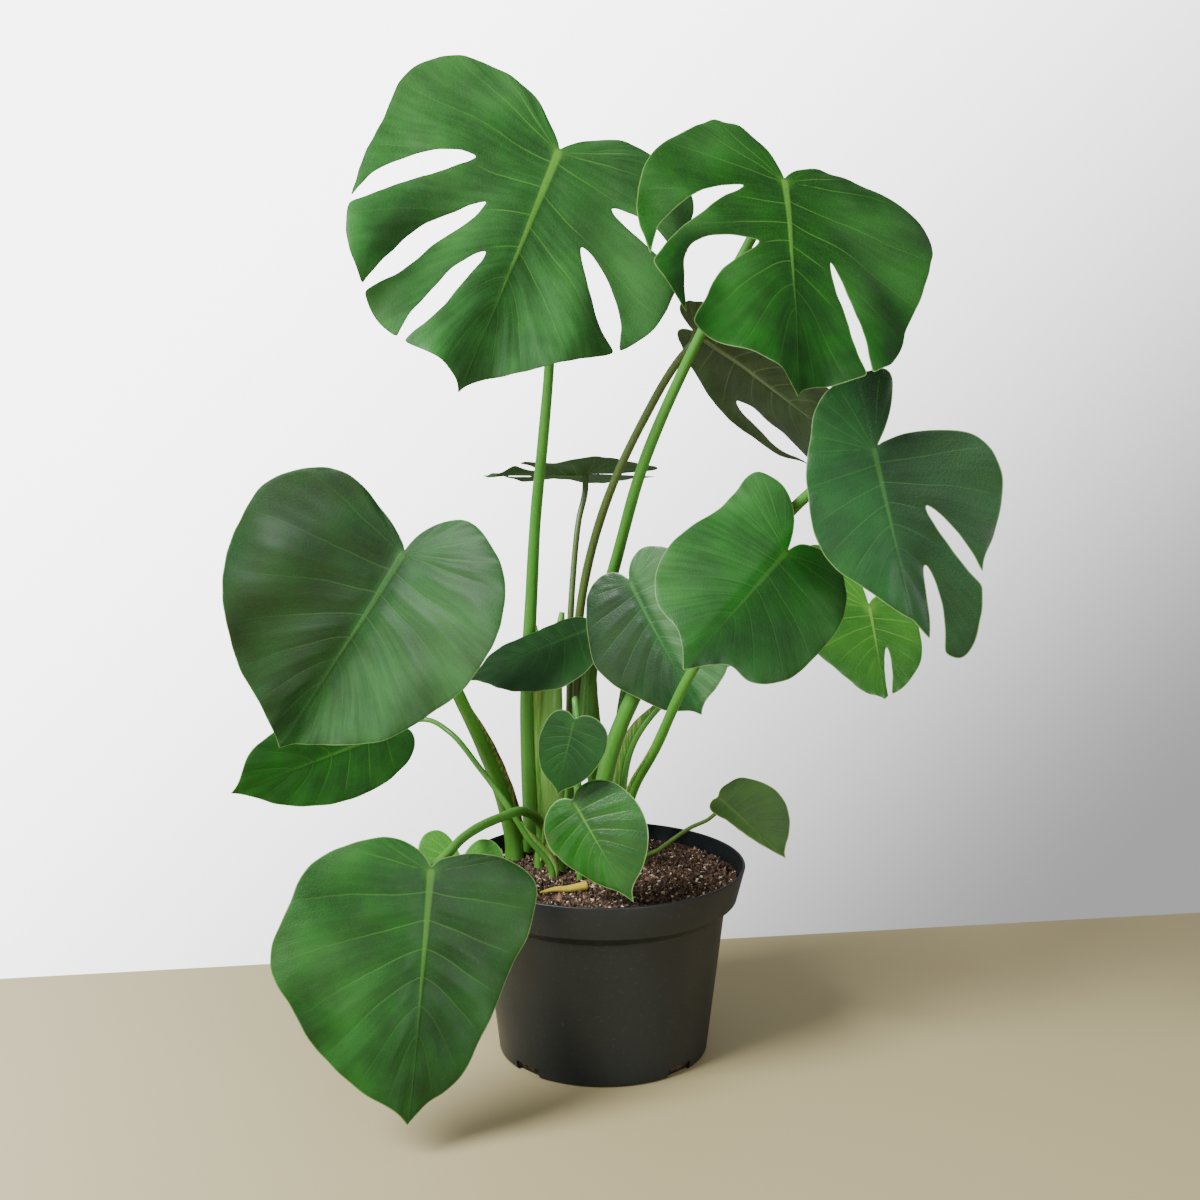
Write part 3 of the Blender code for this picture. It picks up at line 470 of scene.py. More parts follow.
# Each leaf: where its blade joins its stalk (x, y, height above the soil), the bearing and height
# that its upper side faces, its roll from hanging straight down, its half outlines, how far its
# sinus lies round to one side, its drip tip, its form (droop, fold, cup, wave), its splits (inner
# angle, inner reach, mouth angle, half widths at the middle and the mouth, bow), and its stalk:
# radii at foot and blade, spot in the soil, places that it passes, and the length of its neck.
LEAVES = [
    dict(
        name="top_left",
        joins=(-38, -20, 629),
        faces=(28, 20),
        roll=30,
        left=(214, 222, 221, 206, 172, 150, 135, 103, 62, 20, 8),
        right=(214, 196, 180, 174, 163, 146, 134, 124, 70, 20, 6),
        drip=20,
        form=(0.5, 0.05, 0.4, 2.0),
        splits=[
            (54, 75, 46, 9.5, 2.0, 8),
            (27, 84, 27, 8.5, 2.4, 5),
            (12, 118, 15, 7.5, 2.6, 3),
            (-34, 82, -40, 10.5, 2.0, -3),
            (-72, 62, -74, 9.0, 20.0, -3),
        ],
        stalk=(8.0, 3.4),
        foot=(-0.56, 0.63),
        via=[
            (-71, 75, 147), (-66, 68, 243), (-61, 50, 318),
            (-53, 25, 390), (-47, 12, 453), (-44, 4, 560),
        ],
        neck=20,
    ),
    dict(
        name="top_right",
        joins=(142, -100, 598),
        faces=(30, 38),
        roll=18,
        left=(188, 184, 183, 177, 154, 134, 106, 83, 72, 52, 15),
        right=(188, 186, 178, 155, 140, 135, 130, 74, 44, 18, 6),
        drip=18,
        form=(0.8, 0.05, 0.4, 2.0),
        splits=[
            (64, 42, 45, 7.5, 2.0, 11),
            (21, 76, 28, 14.0, 3.0, 20),
            (-25, 80, -19, 4.5, 2.0, 0),
        ],
        stalk=(7.0, 4.0),
        foot=(-0.05, 0.56),
        via=[
            (-9, 66, 91), (-12, 65, 159), (-3, 58, 227), (9, 45, 271),
            (35, -5, 372), (80, -50, 480), (118, -75, 555),
        ],
        neck=20,
    ),
    dict(
        name="back_right",
        joins=(83, 50, 482),
        faces=(150, 45),
        roll=39,
        left=(172, 182, 174, 134, 92, 62, 46, 42, 40, 34, 12),
        right=(172, 186, 164, 112, 66, 42, 28, 23, 20, 16, 8),
        drip=14,
        form=(0.8, 0.05, 0.4, 2.0),
        splits=[(42, 88, 16, 17.0, 2.0, 9), (-32, 84, -17, 12.0, 2.0, -3)],
        stalk=(5.0, 3.6),
        foot=(-0.2, 0.72),
        via=[
            (-26, 80, 87), (-24, 82, 154), (-22, 82, 224), (-9, 77, 292),
            (2, 73, 328), (36, 60, 405), (68, 46, 460),
        ],
        neck=12,
    ),
    dict(
        name="right_split",
        joins=(212, -135, 390),
        faces=(-10, 10),
        roll=-14,
        sinus=42,
        left=(136, 110, 97, 79, 63, 55, 51, 56, 61, 63, 56),
        right=(136, 176, 154, 121, 112, 106, 96, 78, 40, 15, 8),
        drip=0,
        form=(0.8, 0.12, 0.4, 1.5),
        splits=[(-30, 58, -27, 5.5, 3.0, 0), (-11, 97, -5, 5.0, 4.0, -3)],
        stalk=(9.5, 4.0),
        foot=(-0.02, 0.2),
        via=[(0, 25, 78), (4, 22, 98), (27, 10, 163), (84, -20, 253), (134, -36, 307), (172, -58, 350)],
        neck=14,
    ),
    dict(
        name="mid_right",
        joins=(147, -100, 304),
        faces=(15, 30),
        roll=47,
        left=(129, 114, 115, 107, 92, 76, 66, 69, 80, 54, 12),
        right=(129, 109, 113, 104, 88, 79, 69, 58, 46, 28, 16),
        drip=6,
        form=(1.0, -0.16, 1.2, 1.0),
        stalk=(5.2, 4.0),
        foot=(0.15, 0.14),
        via=[(23, 8, 66), (47, -30, 129), (72, -72, 198), (110, -88, 262)],
        neck=14,
    ),
    dict(
        name="mid_glossy",
        joins=(24, -5, 266),
        faces=(-30, 5),
        roll=-33,
        left=(120, 116, 102, 92, 81, 65, 51, 42, 31, 20, 8),
        right=(120, 118, 114, 103, 86, 72, 55, 43, 34, 20, 8),
        drip=10,
        form=(1.0, 0.1, 0.8, 0.8),
        stalk=(5.0, 3.2),
        foot=(0.1, 0.62),
        via=[(12, 60, 102), (24, 42, 192)],
        neck=18,
    ),
    dict(
        name="lime",
        joins=(243, 60, 234),
        faces=(15, 30),
        roll=0,
        left=(82, 81, 74, 70, 71, 70, 68, 70, 76, 76, 40),
        right=(82, 80, 73, 65, 55, 48, 40, 28, 20, 12, 6),
        drip=4,
        form=(1.5, 0.05, 1.0, 1.0),
        splits=[(-15, 38, -4, 3.5, 1.5, 0)],
        stalk=(3.6, 2.6),
        foot=(0.19, 0.4),
        via=[(18, 46, 64), (28, 47, 112), (52, 48, 146), (124, 62, 187), (200, 76, 215)],
        neck=14,
    ),
    dict(
        name="large_left",
        joins=(-169, -60, 298),
        faces=(20, 0),
        roll=33,
        left=(184, 170, 161, 154, 147, 140, 126, 92, 32, 12, 8),
        right=(184, 172, 158, 141, 127, 114, 100, 89, 76, 60, 28),
        drip=8,
        form=(0.8, 0.2, 0.8, 1.2),
        stalk=(9.0, 3.8),
        foot=(-0.68, 0.43),
        via=[(-91, 44, 57), (-111, 20, 121), (-129, -10, 173), (-149, -22, 238)],
        neck=16,
    ),
    dict(
        name="low_left",
        joins=(-186, 30, 129),
        faces=(20, 5),
        roll=72,
        left=(146, 134, 98, 81, 69, 55, 42, 32, 22, 14, 6),
        right=(146, 124, 94, 70, 52, 40, 31, 24, 18, 12, 6),
        drip=12,
        form=(1.2, 0.06, 0.8, 1.0),
        stalk=(3.4, 2.2),
        foot=(-0.375, -0.035),
        via=[(-69, -2, 39), (-81, -2, 59), (-111, 6, 99), (-138, 22, 127), (-165, 44, 134)],
        neck=10,
    ),
    dict(
        name="front_hanging",
        joins=past_rim(-127, 99, 62),
        faces=(15, 15),
        roll=8,
        left=(184, 175, 163, 149, 142, 117, 93, 62, 38, 18, 6),
        right=(184, 166, 130, 107, 97, 92, 85, 48, 22, 12, 5),
        drip=12,
        form=(0.6, -0.05, 0.6, 1.2),
        stalk=(4.6, 3.8),
        foot=(-0.48, 0.19),
        via=[
            (-57, 20, 42), (-70, -8, 62),
            past_rim(-151, -23, 68), past_rim(-136, 33, 70), past_rim(-129, 78, 66),
        ],
        neck=10,
    ),
    dict(
        name="rim_left",
        joins=past_rim(-140, 28, 42),
        faces=(10, 35),
        roll=5,
        left=(50, 48, 45, 42, 40, 38, 37, 39, 41, 34, 12),
        right=(50, 48, 45, 42, 40, 38, 36, 36, 34, 26, 10),
        drip=5,
        form=(2.0, 0.05, 1.0, 0.5),
        stalk=(2.6, 2.2),
        foot=(-0.65, -0.19),
        via=[(-88, -40, 24), past_rim(-141, 10, 40)],
        neck=8,
    ),
    dict(
        name="small_heart",
        joins=(-25, -90, 161),
        faces=(-20, 12),
        roll=10,
        left=(56, 52, 47, 39, 33, 27, 23, 19, 14, 9, 4),
        right=(56, 53, 48, 43, 39, 36, 31, 23, 15, 9, 4),
        drip=6,
        form=(1.5, 0.06, 1.0, 0.4),
        stalk=(3.2, 2.6),
        foot=(-0.17, -0.09),
        via=[(-22, -14, 72), (-23, -48, 150), (-24, -74, 177)],
        neck=6,
    ),
    dict(
        name="front_heart",
        joins=(-24, -85, 91),
        faces=(-20, 10),
        roll=-35,
        left=(82, 73, 62, 54, 48, 43, 34, 24, 16, 9, 4),
        right=(82, 80, 74, 67, 57, 47, 37, 26, 16, 9, 4),
        drip=14,
        form=(1.5, -0.08, 1.5, 0.5),
        stalk=(3.8, 3.0),
        foot=(-0.31, 0.12),
        via=[(-33, 4, 57), (-27, -40, 104)],
        neck=8,
    ),
    dict(
        name="olive",
        joins=(103, -20, 77),
        faces=(-30, 45),
        roll=-60,
        left=(78, 44, 26, 20, 17, 15, 13, 10, 8, 5, 3),
        right=(78, 75, 68, 56, 43, 33, 25, 16, 12, 8, 4),
        drip=8,
        form=(2.0, 0.35, 2.0, 0.4),
        stalk=(2.2, 1.7),
        foot=(0.31, 0.26),
        via=[(52, 12, 22), (78, 0, 45), (95, -10, 57)],
        neck=6,
    ),
    dict(
        name="far_flat",
        joins=(-17, 150, 350),
        faces=(180, 76),
        roll=-90,
        left=(92, 88, 76, 70, 67, 64, 64, 68, 76, 78, 36),
        right=(92, 88, 76, 70, 67, 64, 64, 68, 76, 78, 36),
        drip=6,
        form=(0.4, 0.12, 1.0, 5.0),
        splits=[(22, 55, 13, 4.0, 2.5, 0), (-24, 50, -30, 4.0, 2.5, 0)],
        stalk=(3.8, 2.8),
        foot=(-0.29, 0.87),
        via=[(-32, 108, 140), (-31, 118, 215), (-28, 128, 262), (-23, 138, 308)],
        neck=14,
    ),
    dict(
        name="center_dark",
        joins=(-15, 42, 217),
        faces=(-20, 50),
        roll=58,
        left=(108, 90, 52, 35, 28, 23, 18, 14, 10, 7, 4),
        right=(108, 97, 87, 76, 66, 52, 36, 22, 13, 8, 4),
        drip=8,
        form=(1.0, 0.05, 1.0, 0.5),
        stalk=(4.0, 3.0),
        foot=(-0.19, 0.36),
        via=[(-23, 42, 92), (-17, 47, 170)],
        neck=8,
    ),
    dict(
        name="seedling",
        joins=(-8, -22, 18),
        faces=(10, 40),
        roll=0,
        left=(14, 14, 13, 12, 12, 12, 11, 9, 7, 5, 3),
        right=(14, 14, 13, 12, 12, 12, 11, 9, 7, 5, 3),
        drip=1.5,
        form=(4.0, 0.05, 1.0, 0.0),
        stalk=(1.5, 1.2),
        foot=(-0.05, -0.1),
        via=[(-7, -14, 12)],
        neck=3,
    ),
]


def smooth_through(knots, values, at):
    """Values on a smooth curve through the knots (cubic Hermite, each slope from its neighbours)."""
    knots = np.asarray(knots, float)
    values = np.asarray(values, float)
    slopes = np.gradient(values, knots, axis=0)
    at = np.clip(np.asarray(at, float), knots[0], knots[-1])
    i = np.clip(np.searchsorted(knots, at, side="right") - 1, 0, len(knots) - 2)
    width = knots[i + 1] - knots[i]
    t = (at - knots[i]) / width
    if values.ndim == 2:
        t, width = t[:, None], width[:, None]
    return (
        (2 * t**3 - 3 * t**2 + 1) * values[i]
        + (t**3 - 2 * t**2 + t) * width * slopes[i]
        + (3 * t**2 - 2 * t**3) * values[i + 1]
        + (t**3 - t**2) * width * slopes[i + 1]
    )


def smoothstep(value, low, high):
    t = np.clip((value - low) / (high - low), 0, 1)
    return t * t * (3 - 2 * t)


def polar(angle, reach):
    """Points of the flat blade: angle in degrees from the tip, positive on its left half."""
    turn = np.radians(angle)
    return np.stack([np.sin(turn) * reach, np.cos(turn) * reach], axis=-1)


def reach_at(leaf, angle):
    """How far the blade reaches at each angle. Its sinus may lie a little to one side."""
    angle = np.asarray(angle, float)
    halves = []
    for side, half in ((1, leaf["left"]), (-1, leaf["right"])):
        marks = np.array(OUTLINE_ANGLES) * (1 + side * leaf.get("sinus", 0) / 180)
        halves.append(smooth_through(marks, np.array(half + (SINUS_REACH,)) * MM, side * angle))
    drip = leaf["drip"] * MM * np.exp(-np.abs(angle) / TIP_ANGLE)
    return np.where(angle > 0, halves[0], halves[1]) + drip


def split_edges(leaf, split):
    """Both edges of one split, from its mouth in round its inner end and out again."""
    inner_angle, inner_reach, mouth_angle, widest, mouth, bow = split
    inner = polar(inner_angle, inner_reach * MM)
    outer = polar(mouth_angle, reach_at(leaf, mouth_angle))
    along = outer - inner
    across = np.array([along[1], -along[0]]) / np.linalg.norm(along)
    share = np.linspace(0, 1, 40) ** 1.6
    shape = (0, 0.3, 0.7, 1, 0.9, mouth / widest)
    widths = smooth_through((0, 0.05, 0.2, 0.5, 0.75, 1), shape, share) * widest * MM
    bowed = (4 * share * (1 - share) * bow * MM)[:, None] * across
    middle = inner + share[:, None] * along + bowed
    half_angle = np.degrees(mouth * MM / reach_at(leaf, mouth_angle))
    edges = []
    for side in (-1, 1):
        edge = middle + side * widths[:, None] * across
        angle = mouth_angle + side * half_angle
        corner = polar(angle, reach_at(leaf, angle))
        edges.append(edge + (share**3)[:, None] * (corner - edge[-1]))
    return np.concatenate([edges[0][::-1], edges[1][1:]])


def distances(points):
    """How far along a chain of points each of them lies."""
    steps = np.linalg.norm(np.diff(points, axis=0), axis=1)
    return np.concatenate([[0], np.cumsum(steps)])


def resampled(loop, spacing):
    """A closed loop of points, evenly spaced."""
    closed = np.vstack([loop, loop[:1]])
    lengths = distances(closed)
    at = np.linspace(0, lengths[-1], max(12, int(lengths[-1] / spacing)), endpoint=False)
    return np.stack([np.interp(at, lengths, closed[:, k]) for k in (0, 1)], axis=1)


def leaf_outline(leaf, spacing):
    """The blade's margin once round from the sinus, with its splits let in and its corners eased."""
    turn = leaf.get("sinus", 0)
    marks = np.arange(-180 + turn + 0.5, 180 + turn, 0.5)
    pieces, start = [], -999.0
    for split in sorted(leaf.get("splits", ()), key=lambda split: split[2]):
        half_angle = np.degrees(split[4] * MM / reach_at(leaf, split[2]))
        before = marks[(marks > start) & (marks < split[2] - half_angle)]
        pieces += [polar(before, reach_at(leaf, before)), split_edges(leaf, split)]
        start = split[2] + half_angle
    after = marks[marks > start]
    pieces.append(polar(after, reach_at(leaf, after)))
    loop = resampled(np.concatenate(pieces), spacing)
    for _ in range(int(2 * (LEAF_MESH / spacing) ** 2)):
        off_tip = smoothstep(np.abs(np.degrees(np.arctan2(loop[:, 0], loop[:, 1]))), 2, 6)
        eased = (np.roll(loop, 1, axis=0) + 2 * loop + np.roll(loop, -1, axis=0)) / 4
        loop += off_tip[:, None] * (eased - loop)
    return loop


def inside_loop(points, loop):
    inside = np.zeros(len(points), bool)
    x, y = points.T
    for (x0, y0), (x1, y1) in zip(loop, np.roll(loop, -1, axis=0)):
        if y0 != y1:
            inside ^= ((y0 > y) != (y1 > y)) & (x < (x1 - x0) * (y - y0) / (y1 - y0) + x0)
    return inside


def gap_to_loop(points, loop):
    """How far each point lies from the nearest point of a loop."""
    tree = kdtree.KDTree(len(loop))
    for i, (x, y) in enumerate(loop):
        tree.insert((x, y, 0), i)
    tree.balance()
    return np.array([tree.find((x, y, 0))[2] for x, y in points])


def blade_points(loop, spacing, length):
    """A triangular grid inside the margin, with close rows along the midrib."""
    low, high = loop.min(axis=0), loop.max(axis=0)
    rise = spacing * math.sqrt(3) / 2
    columns, rows = np.meshgrid(
        np.arange(int(low[0] / spacing) - 1, int(high[0] / spacing) + 2),
        np.arange(int((high[1] - low[1]) / rise) + 1),
    )
    grid = [(columns + 0.5 * (rows % 2)) * spacing, low[1] + rows * rise]
    grid = np.stack(grid, axis=-1).reshape(-1, 2)
    size = length / 0.2
    lines = np.array(RIB_LINES) * MM * size
    along, x = np.meshgrid(np.arange(0, length, spacing * 0.8), lines)
    ribs = np.stack([x, along], axis=-1).reshape(-1, 2)
    beside = (np.abs(grid[:, 0]) > lines[-1] + 0.6 * spacing) | (grid[:, 1] < -0.5 * spacing)
    points = np.concatenate([grid[beside], ribs])
    points = points[inside_loop(points, loop)]
    return points[gap_to_loop(points, resampled(loop, spacing / 4)) > 0.5 * spacing]


def vein_number(leaf, flat):
    """Which side vein passes each point: whole numbers lie on the veins, counted from the midrib.

    A vein leaves the midrib nearly square and arches towards the margin. Veins pass between the
    splits, so the count is eased to put a half number on each split.
    """
    length = max(leaf["left"]) * MM
    x, y = flat.T
    reach = np.hypot(x, y) + 1e-6
    angle = np.degrees(np.abs(np.arctan2(x, y)))
    angle = angle + 9 * np.sin(np.radians(angle)) * np.clip(reach / length - 0.35, 0, 1)
    low = np.clip(VEIN_FAN * (1 - reach / (RIB_LENGTH * length)), 0, VEIN_FAN)
    high = np.full_like(low, VEIN_FAN)
    for _ in range(24):
        middle = (low + high) / 2
        leaves_at = RIB_LENGTH * length * (1 - middle / VEIN_FAN)
        here = middle * np.clip(1 - leaves_at / reach, 0, 1) ** VEIN_ARCH
        low = np.where(here < angle, middle, low)
        high = np.where(here < angle, high, middle)
    fan = np.where(angle < VEIN_FAN, (low + high) / 2, angle)
    return fan * np.sign(x)


def vein_count(leaf, flat):
    fan = vein_number(leaf, flat)
    known = {0.0: 0.0}
    for inner_angle, inner_reach, mouth_angle, _, _, _ in leaf.get("splits", ()):
        ends = np.stack([
            polar(inner_angle, inner_reach * MM),
            polar(mouth_angle, 0.85 * reach_at(leaf, mouth_angle)),
        ])
        middle = float(vein_number(leaf, ends).mean())
        count = abs(middle) / VEIN_ANGLE
        known[middle] = math.copysign(max(0.5, math.floor(count) + 0.5), middle)
    for side in (-1, 1):
        known[side * 200.0] = side * 200.0 / VEIN_ANGLE
    knots = sorted(known)
    count = np.interp(fan, knots, [known[k] for k in knots])
    return count + 0.2 * np.tanh(flat[:, 0] / 0.03)


def bend(leaf, x, y):
    """The blade's form: its midrib arches, its halves fold and arch, and its margin waves."""
    droop, fold, cup, wave = leaf["form"]
    turn = droop * y
    side = np.sqrt(x * x + SOFT_FOLD**2) - SOFT_FOLD
    ripple = wave * MM * (np.hypot(x, y) / 0.1) ** 2 * np.sin(5 * np.arctan2(x, y) + 40 * x)
    rise = fold * side - cup * side * side + ripple
    along = np.sin(turn) / droop + np.sin(turn) * rise
    return np.stack([x, along, (np.cos(turn) - 1) / droop + np.cos(turn) * rise], axis=1)


def leaf_axes(faces, roll):
    """Across, towards the tip, and out of the upper side. Faces is a bearing from -Y and a height."""
    bearing, height, roll = math.radians(faces[0]), math.radians(faces[1]), math.radians(roll)
    level = math.cos(height)
    out = Vector((math.sin(bearing) * level, -math.cos(bearing) * level, math.sin(height)))
    down = (Vector((0, 0, -1)) + out * out.z).normalized()
    tip = math.cos(roll) * down + math.sin(roll) * down.cross(out)
    return tip.cross(out), tip, out


def junction(leaf):
    return Vector(leaf["joins"]) * MM + Vector((0, 0, SOIL_TOP))


def triangle_normals(points, faces):
    """Each point's normal, from the triangles round it."""
    a, b, c = points[faces[:, 0]], points[faces[:, 1]], points[faces[:, 2]]
    across = np.cross(b - a, c - a)
    normals = np.zeros_like(points)
    for k in range(3):
        np.add.at(normals, faces[:, k], across)
    return normals / (np.linalg.norm(normals, axis=1)[:, None] + 1e-20)


def meshed_blade(loop, inner):
    """Triangles between the margin and the inner points. No edge but the margin's joins two of its
    points, because both skins would share it: such an edge gets a point at its middle."""
    ring = len(loop)
    for _ in range(4):
        start = [Vector(p) for p in np.concatenate([loop, inner])]
        flat, _, faces, *_ = delaunay_2d_cdt(start, [], [list(range(ring))], 1, 1e-7)
        flat = np.array([tuple(p) for p in flat])
        faces = np.array(faces)
        ends = np.sort(np.concatenate([faces[:, [0, 1]], faces[:, [1, 2]], faces[:, [2, 0]]]), axis=1)
        ends, uses = np.unique(ends, axis=0, return_counts=True)
        chords = ends[(uses == 2) & (ends < ring).all(axis=1)]
        if not len(chords):
            break
        inner = np.concatenate([inner, flat[chords].mean(axis=1)])
    return flat, faces


def leaf_mesh(leaf):
    """One blade: an upper and a lower skin that meet at the margin, with its veins' places stored."""
    length = max(leaf["left"]) * MM
    size = length / 0.2
    spacing = LEAF_MESH * min(1, max(0.35, length / 0.12))
    loop = leaf_outline(leaf, spacing)
    inner = blade_points(loop, spacing, length)
    flat, faces = meshed_blade(loop, inner)
    on_edge = np.arange(len(flat)) < len(loop)
    margin = np.where(on_edge, 0, gap_to_loop(flat, resampled(loop, spacing / 6)))

    count = vein_count(leaf, flat)
    step = 0.5 * MM
    moves = np.array([(step, 0), (0, step)])
    slope = [(vein_count(leaf, flat + move) - count) / step for move in moves]
    span = 1 / np.clip(np.hypot(*slope), 10, 2000)
    x, y = flat.T
    rib_half = (4.3 * np.clip(1 - y / (RIB_LENGTH * length), 0, 1) ** 1.2 * size + 0.45) * MM
    rib = np.where(y > 0, np.abs(x), np.hypot(x, y)) / rib_half
    quilt = leaf["quilt"] * size * QUILT
    crest = 0.5 - 0.5 * np.cos(2 * math.pi * count)
    crest = crest + 0.22 * (0.5 - 0.5 * np.cos(6 * math.pi * count))
    calm = smoothstep(np.abs(x), 2 * MM, 18 * MM * size) * smoothstep(margin, 0, 34 * MM * size)
    calm *= smoothstep(np.hypot(x, y), 6 * MM, 40 * MM * size)
    seed = sum(map(ord, leaf["name"]))
    swell = sum(
        np.sin(f * (x * math.cos(t) + y * math.sin(t)) + seed * t) / (1 + f / 60)
        for f, t in SWELLS
    )
    from_hub = smoothstep(np.hypot(x, y), 0, 60 * MM)
    height = quilt * crest * calm + SWELL_HEIGHT * size * swell * from_hub
    calm_hub = smoothstep(np.hypot(x, y), 6 * MM, 50 * MM)
    height -= MARGIN_CURL * size * np.exp(-margin / (8 * MM * size)) * calm_hub
    fluted = np.exp(-margin / (11 * MM * size)) * np.sin(2 * math.pi * count + seed)
    height += MARGIN_FLUTE * size * fluted * calm_hub
    drift = MARGIN_DRIFT * size * calm_hub * smoothstep(np.abs(x), 4 * MM, 45 * MM * size)
    x, y = (
        x + drift * (np.sin(88 * y + 40 * x + seed) + 0.2 * np.sin(310 * y - 130 * x + seed)),
        y + drift * (np.sin(76 * x - 50 * y + 2 * seed) + 0.2 * np.sin(280 * x + 170 * y + seed)),
    )
    middle = bend(leaf, x, y)
    normals = triangle_normals(middle, faces)
    if normals[:, 2].sum() < 0:
        normals, faces = -normals, faces[:, ::-1]
    body = np.sqrt(1 - np.clip(1 - margin / MARGIN_ROUND, 0, 1) ** 2)
    rib_round = np.sqrt(1 - np.clip(rib, 0, 1) ** 2)
    above = UPPER_SKIN * body + height + 0.35 * MM * size * np.exp(-(rib**2)) * body
    below = -UPPER_SKIN * body + height - rib_round * np.minimum(rib_half * 1.1, 2.6 * MM) * body
    at_edge = middle + normals * height[:, None]
    upper = np.where(on_edge[:, None], at_edge, middle + normals * above[:, None])
    lower = middle + normals * below[:, None]

    ring = len(loop)
    shaped = np.concatenate([upper, lower[ring:]])
    other = faces[:, ::-1] + np.where(faces[:, ::-1] < ring, 0, len(upper) - ring)
    across, tip, out = leaf_axes(leaf["faces"], leaf["roll"])
    shaped = np.array(junction(leaf)) + shaped @ np.array([across, tip, out])
    mesh = bpy.data.meshes.new("blade_" + leaf["name"])
    mesh.from_pydata(shaped, [], np.concatenate([faces, other]))
    mesh.polygons.foreach_set("material_index", np.repeat([0, 1], [len(faces), len(other)]))
    shown = leaf["shown"] * (1 - 0.8 * smoothstep(y, 0.3 * length, 0.75 * length))
    stored = {"vein": count, "span": span / MM, "margin": margin / MM, "rib": rib, "shown": shown}
    # Painted shade: each half of the blade is darkened by its own share to stand in for how light falls on
    # it. Below zero, the half gets a pale painted sheen instead.
    left, right = leaf["shade"]
    blend = 22 * MM * size
    stored["shade"] = right + (left - right) * smoothstep(flat[:, 0], -blend, blend)
    for label, values in stored.items():
        both = np.concatenate([values, values[ring:]]).astype(np.float32)
        mesh.attributes.new(label, "FLOAT", "POINT").data.foreach_set("value", both)
    both = np.concatenate([flat, flat[ring:]])
    corners = np.empty(len(mesh.loops), np.int32)
    mesh.loops.foreach_get("vertex_index", corners)
    mesh.uv_layers.new(name="blade").uv.foreach_set("vector", both[corners].astype(np.float32).ravel())
    mesh.shade_smooth()
    mesh.set_sharp_from_angle(angle=math.radians(75))
    return mesh


def blade_parts(tree):
    """What both skins' materials read: the vein lines, midrib, margin, blotches and network, and the
    painted shade of each half and the pale patches of painted sheen.
    """
    read = {}
    for label in ("vein", "span", "margin", "rib", "shown", "shade"):
        read[label] = add(tree, "ShaderNodeAttribute", attribute_name=label).outputs["Fac"]
    where = add(tree, "ShaderNodeUVMap", uv_map="blade").outputs[0]
    main = times(tree, maths(tree, "PINGPONG", read["vein"], 0.5), read["span"])
    between = times(tree, read["vein"], 4.0)
    fine = times(tree, maths(tree, "PINGPONG", between, 0.5), read["span"])
    off_rib = maths(tree, "ABSOLUTE", coordinate(tree, where, 0))
    main = times(tree, ramp(tree, main, 0.9, 0.2), ramp(tree, read["margin"], 1, 16))
    read["main"] = times(tree, main, ramp(tree, off_rib, 0.01, 0.1, 1.0, 0.3))
    read["fine"] = times(tree, ramp(tree, fine, 1.6, 0.3), ramp(tree, read["margin"], 0, 9))
    read["midrib"] = ramp(tree, read["rib"], 0.95, 0.35)
    read["edge"] = ramp(tree, read["margin"], 1.0, 0.35)
    reach = add(tree, "ShaderNodeVectorMath", {0: where}, operation="LENGTH").outputs["Value"]
    read["hub"] = ramp(tree, reach, 0.011, 0.002)
    fan = {0: times(tree, read["vein"], 7.0), 1: times(tree, reach, 22.0)}
    fan = add(tree, "ShaderNodeCombineXYZ", fan).outputs[0]
    read["streak"] = clouds(tree, fan, 1, 3)
    read["blotch"] = clouds(tree, where, 26, 5)
    read["grain"] = clouds(tree, where, 900, 3)
    cells = {"Vector": where, "Scale": 330}
    network = add(tree, "ShaderNodeTexVoronoi", cells, feature="DISTANCE_TO_EDGE").outputs[0]
    read["network"] = ramp(tree, network, 0.12, 0.0)
    # Painted sheen: pale patches away from the midrib, streaked along the veins.
    cloud = ramp(tree, clouds(tree, where, 11, 2), 0.38, 0.62)
    wax = times(tree, cloud, ramp(tree, off_rib, 0.015, 0.06))
    read["wax"] = times(tree, wax, ramp(tree, read["streak"], 0.35, 0.65, 0.8, 1.0))
    return read


